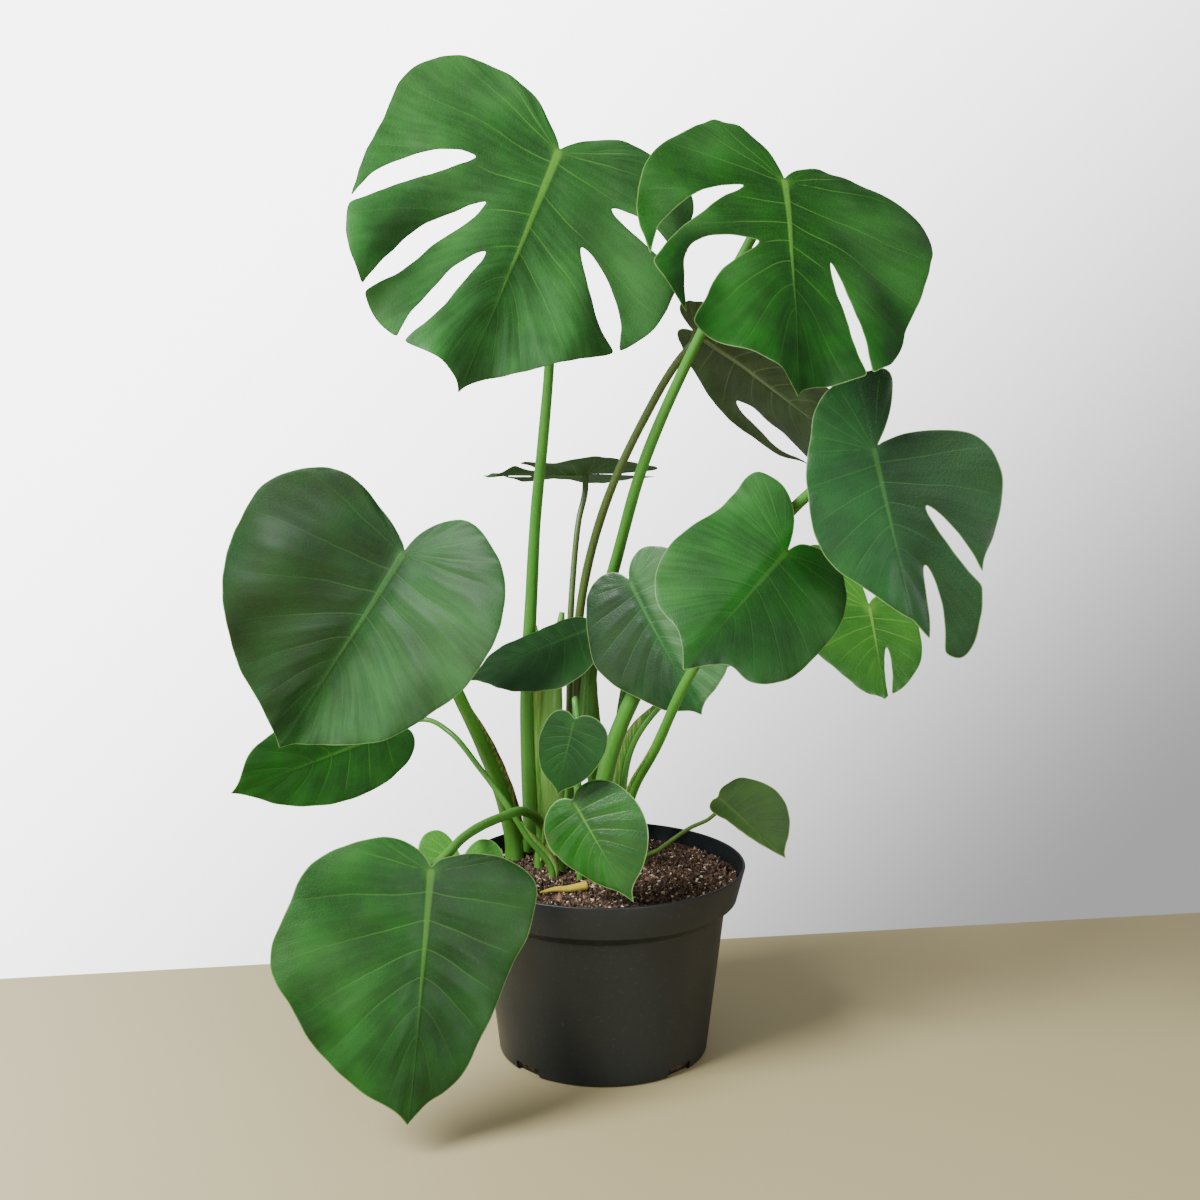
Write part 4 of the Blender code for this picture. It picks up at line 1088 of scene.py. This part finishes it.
def leaf_skin(name, deep, fresh, vein, rim, rough, raised, gloss, coat_rough=0.3, painted_sheen_share=0.1):
    """A leaf's skin: two greens in blotches, paler along its veins and its horny margin, with painted
    shade on a darker half and painted sheen in pale patches. Raised is the side veins' height:
    negative above, where they are sunken, and positive below. The last argument is how strongly
    the pale patches of painted sheen show away from the midrib."""
    finish, tree, shader = new_finish(name, ior=1.45, coat_weight=gloss, coat_roughness=coat_rough)
    shader.inputs["Specular IOR Level"].default_value = 0.2 + 0.6 * min(gloss, 0.4)
    read = blade_parts(tree)
    tone = plus(tree, times(tree, read["blotch"], 0.82), times(tree, read["streak"], 0.18))
    green = blend_colours(tree, ramp(tree, tone, 0.3, 0.72), srgb(deep), srgb(fresh))
    # Painted sheen: the pale patches lighten the green.
    green = blend_colours(tree, times(tree, read["wax"], painted_sheen_share), green, srgb("#67a35c"))
    # Painted sheen on a half whose shade is below zero, then painted shade, a darker green, on a half
    # whose shade is above zero.
    uneven = ramp(tree, read["streak"], 0.35, 0.65, 0.65, 1.0)
    painted_half_sheen = times(tree, ramp(tree, read["shade"], 0, -1, smooth=False), uneven)
    green = blend_colours(tree, painted_half_sheen, green, srgb("#8fbd8c"))
    green = blend_colours(tree, ramp(tree, read["shade"], 0, 1, smooth=False), green, srgb("#06190a"))
    for part, share in (("network", 0.07), ("fine", 0.05), ("main", 0.45), ("hub", 0.3), ("midrib", 0.85)):
        amount = times(tree, times(tree, read[part], share), read["shown"])
        green = blend_colours(tree, amount, green, srgb(vein))
    green = blend_colours(tree, times(tree, read["edge"], 0.5), green, srgb(rim))
    mottle = plus(tree, times(tree, read["streak"], 0.7), times(tree, read["grain"], 0.3))
    lines = plus(tree, times(tree, read["main"], 0.5), times(tree, read["fine"], 0.12))
    relief = plus(tree, times(tree, lines, raised), times(tree, read["network"], raised * 0.3))
    for part, share in (("grain", 0.5), ("streak", 0.6)):
        relief = plus(tree, relief, times(tree, read[part], share))
    rough = ramp(tree, mottle, 0.3, 0.75, rough, rough + 0.14)
    surface(tree, shader, green, relief, 0.4, 0.5 * MM, rough)
    return finish


# Each skin's greens, its veins' and its margin's colour, its roughness, the side veins' height, its
# gloss, and its waxy coat's roughness and its share of pale painted sheen patches where they differ.
SKINS = {
    "top": (
        "top_green_leaf_skin",
        "#103f0e", "#1c621a", "#66a33c", "#27280f", 0.42, -1.0, 0.1, 0.3, 0.2,
    ),
    "deep": ("deep_green_leaf_skin", "#0d3a14", "#15531c", "#4c8a3e", "#86a468", 0.42, -1.0, 0.15),
    "glossy": ("glossy_green_leaf_skin", "#0b3e12", "#145a1c", "#539646", "#86a868", 0.4, -1.0, 0.3, 0.27),
    "green": (
        "mid_green_leaf_skin",
        "#0c3a08", "#15580f", "#66a33c", "#7f9f5c", 0.42, -1.0, 0.1, 0.3, 0.16,
    ),
    "matt": ("matt_green_leaf_skin", "#0d3a09", "#165410", "#4f8a34", "#6f9050", 0.52, -1.0, 0.0),
    "fresh": (
        "fresh_green_leaf_skin",
        "#0f420a", "#196011", "#6aa23c", "#96bb6c", 0.32, -1.0, 0.5, 0.22, 0.15,
    ),
    "lime": ("young_lime_leaf_skin", "#2a6a1c", "#428626", "#86b84c", "#9cc26a", 0.38, -1.0, 0.2),
    "olive": ("dull_olive_leaf_skin", "#1f3a05", "#2f5208", "#5c7032", "#7f8c50", 0.6, -1.0, 0.0),
    "pale": ("pale_leaf_underside", "#2a5222", "#38652d", "#7b9c54", "#8aa062", 0.55, 1.0, 0.0),
    "brown": ("brown_green_leaf_underside", "#2b3b22", "#3d5032", "#7d8f62", "#7a8a5c", 0.45, 1.0, 0.1),
}
SKINS = {kind: leaf_skin(*values) for kind, values in SKINS.items()}
# Each leaf's skins, its kind, how far it is quilted, how clearly its veins show, and how dark its
# left and right halves are painted: painted shade that stands in for how light falls on each half.
# A half below zero carries a pale painted sheen instead.
TONES = {
    "top_left": ("top", "pale", "leaf_green", 0.9, 0.9, (-0.06, -0.08)),
    "top_right": ("green", "pale", "leaf_green", 0.7, 0.7, (0.03, 0.22)),
    "back_right": ("deep", "brown", "leaf_dark", 0.7, 0.7, (0.0, -0.05)),
    "right_split": ("deep", "pale", "leaf_dark", 0.6, 0.3, (0.0, 0.6)),
    "mid_right": ("green", "pale", "leaf_green", 0.25, 0.12, (-0.05, 0.3)),
    "mid_glossy": ("glossy", "pale", "leaf_green", 1.8, 0.3, (0.6, -0.2)),
    "lime": ("lime", "pale", "leaf_lime", 0.8, 0.7, (0.0, 0.1)),
    "large_left": ("glossy", "pale", "leaf_dark", 0.9, 0.45, (0.42, -0.1)),
    "low_left": ("matt", "pale", "leaf_green", 0.9, 0.4, (0.0, 0.0)),
    "front_hanging": ("green", "pale", "leaf_green", 0.9, 0.4, (0.12, 0.42)),
    "rim_left": ("lime", "pale", "leaf_lime", 0.8, 0.6, (0.0, 0.0)),
    "small_heart": ("matt", "pale", "leaf_green", 0.6, 0.15, (0.4, 0.5)),
    "front_heart": ("fresh", "pale", "leaf_green", 1.4, 0.35, (0.0, 0.2)),
    "olive": ("olive", "pale", "leaf_olive", 0.6, 0.15, (0.4, 0.45)),
    "far_flat": ("deep", "pale", "leaf_dark", 0.6, 0.6, (0.0, 0.0)),
    "center_dark": ("matt", "brown", "leaf_dark", 0.6, 0.12, (0.5, 0.5)),
    "seedling": ("lime", "pale", "leaf_lime", 0.5, 0.5, (0.0, 0.0)),
}
for leaf in LEAVES:
    upper, lower, slot, leaf["quilt"], leaf["shown"], leaf["shade"] = TONES[leaf["name"]]
    finishes = [SKINS[upper], SKINS[lower]]
    replaced = ["leaf_" + leaf["name"]]
    finish_piece("blade_" + leaf["name"], leaf_mesh(leaf), finishes, replaced, smooth=False)

# ------------------------------------------------------------------------------ leaf stalks
# Round fleshy stalks that rise from short stems under the soil. Each is thick and sheathing at its
# foot, tapers up its length and swells a little at the joint under its blade.

STALK_STEPS = 160
STALK_SIDES = 28
STALK_EASE = 0.7


def stalk_tree():
    """Geometry Nodes: a round stalk along a curve, as thick at each point as the curve's radius."""
    inputs = {"Geometry": "Geometry", "Sides": "Int", "Finish": "Material"}
    tree, given = geometry_tree("stalk_from_curve", inputs)
    ring = add(tree, "GeometryNodeCurvePrimitiveCircle", {"Resolution": given["Sides"], "Radius": 1.0})
    inputs = {"Curve": given["Geometry"], "Profile Curve": ring.outputs[0], "Fill Caps": True}
    tube = add(tree, "GeometryNodeCurveToMesh", inputs)
    if "Scale" in tube.inputs:
        radius = add(tree, "GeometryNodeInputRadius").outputs[0]
        tree.links.new(radius, tube.inputs["Scale"])
    return end_tree(tree, tube.outputs[0], given["Finish"])


def stalk_mesh(tree, route, radii, finish, swelling=0.12, ease=STALK_EASE):
    """A stalk through its route (points in metres) with its thickness eased from foot to joint.
    The ease is how early it thins: over 1, it stays thick until it nears its end."""
    route = np.array([tuple(p) for p in route])
    lengths = distances(route)
    at = np.linspace(0, lengths[-1], STALK_STEPS)
    points = smooth_through(lengths, route, at)
    share = at / lengths[-1]
    radius = radii[0] + (radii[1] - radii[0]) * share**ease
    radius *= 1 + swelling * np.exp(-(((lengths[-1] - at) / (14 * MM)) ** 2))
    radius *= 1 + 0.012 * np.sin(share * 23) + 0.01 * np.sin(share * 61 + 1)
    curve = bpy.data.curves.new("stalk_path", "CURVE")
    curve.dimensions = "3D"
    spline = curve.splines.new("POLY")
    spline.points.add(len(points) - 1)
    spline.points.foreach_set("co", np.column_stack([points, np.ones(len(points))]).ravel())
    spline.points.foreach_set("radius", radius * MM)
    return nodes_mesh("stalk_path", curve, tree, {"Sides": STALK_SIDES, "Finish": finish})


def lengthwise(tree, where, squash, scale, detail):
    """Fine streaks, drawn out along Z."""
    drawn = {"Vector": where, "Scale": (1.0, 1.0, squash)}
    return clouds(tree, add(tree, "ShaderNodeMapping", drawn).outputs[0], scale, detail)


def stalk_skin(name, foot, top, streak):
    """A smooth green rind, paler at the foot, with fine lengthwise streaks and pale flecks."""
    finish, tree, shader = new_finish(name, ior=1.45, coat_weight=0.15, coat_roughness=0.35)
    where = add(tree, "ShaderNodeTexCoord").outputs["Object"]
    streaks = lengthwise(tree, where, 0.04, 520, 3)
    flecks = add(tree, "ShaderNodeTexVoronoi", {"Vector": where, "Scale": 260}).outputs[0]
    cloud = clouds(tree, where, 22, 3)
    up = ramp(tree, coordinate(tree, where, 2), SOIL_TOP, SOIL_TOP + 0.28)
    green = blend_colours(tree, up, srgb(foot), srgb(top))
    green = blend_colours(tree, ramp(tree, streaks, 0.5, 0.8, 0, 0.5), green, srgb(streak))
    green = blend_colours(tree, ramp(tree, flecks, 0.16, 0.05, 0, 0.35), green, srgb("#a3c270"))
    green = blend_colours(tree, ramp(tree, cloud, 0.6, 0.8, 0, 0.4), green, srgb(streak))
    rough = ramp(tree, cloud, 0.3, 0.7, 0.36, 0.5)
    surface(tree, shader, green, streaks, 0.25, 0.4 * MM, rough)
    return finish


def rising_from(spot, radius):
    """A stalk's upright first piece. Its spot in the soil is a share of the soil's radius."""
    foot = Vector((spot[0] * SOIL_RADIUS, spot[1] * SOIL_RADIUS, SOIL_TOP - 1.5 * MM))
    return [foot, foot + Vector((0, 0, radius * MM + 1.5 * MM))]


def above_soil(places):
    return [Vector(place) * MM + Vector((0, 0, SOIL_TOP)) for place in places]


def stalk_route(leaf):
    _, _, out = leaf_axes(leaf["faces"], leaf["roll"])
    end = junction(leaf) - out * 0.6 * MM
    neck = end - out * leaf["neck"] * MM
    seat = end - out * leaf["stalk"][1] * MM / 2
    return rising_from(leaf["foot"], leaf["stalk"][0]) + above_soil(leaf["via"]) + [neck, seat, end]


RINDS = {
    "green": stalk_skin("green_stalk_rind", "#4d882e", "#3e8228", "#2f6222"),
    "brown": stalk_skin("brown_green_stalk_rind", "#55702f", "#4b6328", "#4a3c22"),
    "olive": stalk_skin("dull_stalk_rind", "#4c6a28", "#48602a", "#3a4a20"),
}
RIND_OF = {"back_right": "brown", "olive": "olive", "far_flat": "olive"}
tubes = stalk_tree()
for leaf in LEAVES:
    rind = RINDS[RIND_OF.get(leaf["name"], "green")]
    mesh = stalk_mesh(tubes, stalk_route(leaf), leaf["stalk"], rind)
    finish_piece("petiole_" + leaf["name"], mesh, [rind], ["stalk_" + leaf["name"]])

# ------------------------------------------------------------------------------ sheaths
# A young leaf's pale, still rolled sheath stands beside the stalks, and an old one has turned
# yellow and lies on the soil.

SHEATH_FOOT = (-0.36, 0.57)
SHEATH_RADII = (12, 2.5)
SHEATH_VIA = [(-46, 70, 60), (-47, 74, 156), (-41, 74, 205), (-38, 76, 228)]
OLD_ROUTE = [(-55, -55, 3), (-44, -51, 4.5), (-30, -46.5, 3.8), (-15, -41.5, 5)]
OLD_RADII = (0.8, 4.0)
sheath_route = rising_from(SHEATH_FOOT, SHEATH_RADII[0]) + above_soil(SHEATH_VIA)
pale_rind = stalk_skin("pale_sheath_rind", "#77ad49", "#62a03c", "#568a36")
mesh = stalk_mesh(tubes, sheath_route, SHEATH_RADII, pale_rind, swelling=0, ease=3.2)
finish_piece("rolled_sheath", mesh, [pale_rind], ["sheath"])
dry_rind = stalk_skin("dried_sheath_rind", "#c4b03a", "#d2c048", "#8a742a")
mesh = stalk_mesh(tubes, above_soil(OLD_ROUTE), OLD_RADII, dry_rind, swelling=0)
finish_piece("dried_sheath", mesh, [dry_rind], ["old_sheath"])

# ------------------------------------------------------------------------------ sheath wings
# Each stalk's foot once wrapped the next young leaf. What is left of that wrapping is a thin wing
# along the stalk, green where it grows from the rind and dried to brown paper at its torn edge.

WING_ROWS = 60
WING_COLUMNS = 7
WING_SKIN = 0.5 * MM


def wing_mesh(leaf, low, high, towards, width, curl):
    """A wing along one stalk, between two shares of its length, standing out towards a bearing."""
    route = np.array([tuple(p) for p in stalk_route(leaf)])
    lengths = distances(route)
    share = np.linspace(low, high, WING_ROWS)
    points = smooth_through(lengths, route, share * lengths[-1])
    ahead = smooth_through(lengths, route, share * lengths[-1] + 0.5 * MM) - points
    radius = (leaf["stalk"][0] + (leaf["stalk"][1] - leaf["stalk"][0]) * share**STALK_EASE) * MM
    verts, edges = [], []
    for i, (point, tangent) in enumerate(zip(points, ahead)):
        tangent = Vector(tangent).normalized()
        out = (Vector(towards) - tangent * Vector(towards).dot(tangent)).normalized()
        along = i / (WING_ROWS - 1)
        torn = 1 + 0.06 * math.sin(i * 0.21 + width) + 0.03 * math.sin(i * 0.67)
        reach = width * MM * math.sin(math.pi * along**0.7) ** 0.6 * torn
        place = Vector(point) + out * radius[i] * 0.9
        for k in range(WING_COLUMNS):
            step = k / (WING_COLUMNS - 1)
            turn = math.radians(curl) * step
            away = out * math.cos(turn) + tangent.cross(out) * math.sin(turn)
            verts.append(place + away * reach * step)
            edges.append(step)
    faces = []
    for i in range(WING_ROWS - 1):
        for k in range(WING_COLUMNS - 1):
            first = i * WING_COLUMNS + k
            faces.append((first, first + 1, first + WING_COLUMNS + 1, first + WING_COLUMNS))
    sheet = bpy.data.meshes.new("wing_sheet")
    sheet.from_pydata(verts, [], faces)
    sheet.attributes.new("edge", "FLOAT", "POINT").data.foreach_set("value", edges)
    holder = placed("wing_sheet", sheet)
    thick = holder.modifiers.new("Skin", "SOLIDIFY")
    thick.thickness = WING_SKIN
    thick.offset = 0
    return evaluated_mesh(holder)


def wing_skin(name, green, paper):
    """A green sheath skin that turns to dry, streaked brown paper at its free edge."""
    finish, tree, shader = new_finish(name, ior=1.45, specular_ior_level=0.3)
    where = add(tree, "ShaderNodeTexCoord").outputs["Object"]
    edge = add(tree, "ShaderNodeAttribute", attribute_name="edge").outputs["Fac"]
    streaks = lengthwise(tree, where, 0.06, 640, 4)
    patches = maths(tree, "SUBTRACT", clouds(tree, where, 60, 3), 0.5)
    dried = plus(tree, edge, times(tree, patches, 0.9))
    fresh = blend_colours(tree, ramp(tree, streaks, 0.4, 0.7, 0, 0.5), srgb(green), srgb("#a8b86c"))
    dry = blend_colours(tree, ramp(tree, streaks, 0.35, 0.7), srgb(paper), srgb("#9a7f55"))
    colour = blend_colours(tree, ramp(tree, dried, 0.45, 0.9), fresh, dry)
    rough = ramp(tree, dried, 0.4, 0.9, 0.45, 0.85)
    surface(tree, shader, colour, streaks, 0.4, 0.4 * MM, rough)
    return finish


torn_skin = wing_skin("torn_sheath_skin", "#4f7a2c", "#4a2f1c")
pale_skin = wing_skin("pale_sheath_skin", "#5c9838", "#778a42")
green_skin = wing_skin("green_sheath_skin", "#47802a", "#5d7a35")
# Each wing's stalk, the shares of its length, the way it faces, its width, its curl and its skin.
WINGS = [
    ("large_left", 0.05, 0.5, (1.0, -0.3, 0.2), 6.0, 20, torn_skin),
    ("top_left", 0.0, 0.34, (1.0, -0.5, 0.0), 14.0, 30, pale_skin),
    ("low_left", 0.0, 0.26, (1.0, -0.5, 0.0), 5.0, 60, pale_skin),
    ("lime", 0.0, 0.42, (-1.0, -0.3, 0.0), 11.0, -30, green_skin),
    ("top_right", 0.0, 0.26, (1.0, -0.5, 0.0), 7.0, 60, torn_skin),
    ("mid_right", 0.0, 0.4, (-0.8, -0.8, 0.0), 4.0, -60, green_skin),
    ("front_hanging", 0.03, 0.3, (0.2, -1.0, 0.3), 3.5, 60, pale_skin),
]
for number, (name, low, high, towards, width, curl, finish) in enumerate(WINGS):
    leaf = next(leaf for leaf in LEAVES if leaf["name"] == name)
    mesh = wing_mesh(leaf, low, high, towards, width, curl)
    finish_piece(f"sheath_wing_{number}_{name}", mesh, [finish], [])

# ------------------------------------------------------------------------------ studio
# A pale floor that ends where a wall would meet it, painted lighter towards the left: a painted pool
# of light. The surround stands in for that wall and is a little brighter on the left; as the camera
# sees it, it is painted darker towards the lower right, as painted shade. A large soft key stands at
# the upper left, a weak light in front.

floor = bpy.data.meshes.new("floor")
floor.from_pydata([(-6, -6, 0), (6, -6, 0), (6, 1.18, 0), (-6, -0.68, 0)], [], [(0, 1, 2, 3)])
finish, tree, shader = new_finish("pale_floor", roughness=0.6)
across = coordinate(tree, add(tree, "ShaderNodeTexCoord").outputs["Object"], 0)
# Painted light: the floor is painted lighter towards the left, where the key's light pools.
floor_light_pool = blend_colours(tree, ramp(tree, across, 0.1, -0.9, 0, 0.7), srgb("#aea278"), srgb("#dcd3b0"))
tree.links.new(floor_light_pool, shader.inputs["Base Color"])
floor.materials.append(finish)
placed("floor", floor)

# What the camera sees of the surround is brighter than what lights the plant, and it is painted darker
# towards the lower right: painted shade on the wall.
world = bpy.data.worlds.new("studio")
world.use_nodes = True
tree = world.node_tree
seen = add(tree, "ShaderNodeLightPath").outputs["Is Camera Ray"]
towards = add(tree, "ShaderNodeTexCoord").outputs["Generated"]
slant = {0: towards, 1: (0.7, 0.0, -0.7)}
fall = add(tree, "ShaderNodeVectorMath", slant, operation="DOT_PRODUCT").outputs["Value"]
lit = ramp(tree, coordinate(tree, towards, 0), -1, 1, 0.72, 0.26, smooth=False)
# Painted shade: the wall the camera sees drops from bright to dim towards the lower right.
wall = ramp(tree, fall, -0.25, 0.42, 7.0, 0.5)
strength = add(tree, "ShaderNodeMix", {0: seen, 2: lit, 3: wall}, data_type="FLOAT").outputs[0]
backdrop = tree.nodes["Background"]
backdrop.inputs["Color"].default_value = srgb("#f2f0f1")
tree.links.new(strength, backdrop.inputs["Strength"])
bpy.context.scene.world = world


def area_light(name, place, aim, size, power):
    lamp = bpy.data.lights.new(name, "AREA")
    lamp.shape = "DISK"
    lamp.size = size
    lamp.energy = power
    light = placed(name, lamp)
    light.location = place
    light.rotation_euler = (Vector(aim) - Vector(place)).to_track_quat("-Z", "Y").to_euler()


area_light("key", (-1.9, -1.5, 2.3), (0, 0, 0.4), size=1.5, power=215)
area_light("front", (1.5, -3.0, 1.0), (0, 0, 0.5), size=1.4, power=44)

lens = bpy.data.cameras.new("camera")
lens.lens = 50
lens.sensor_width = 36
camera = placed("camera", lens)
camera.location = (-0.003, -1.443, 0.629)
camera.rotation_euler = (math.radians(90 - 8.67), 0, 0)
bpy.context.scene.camera = camera
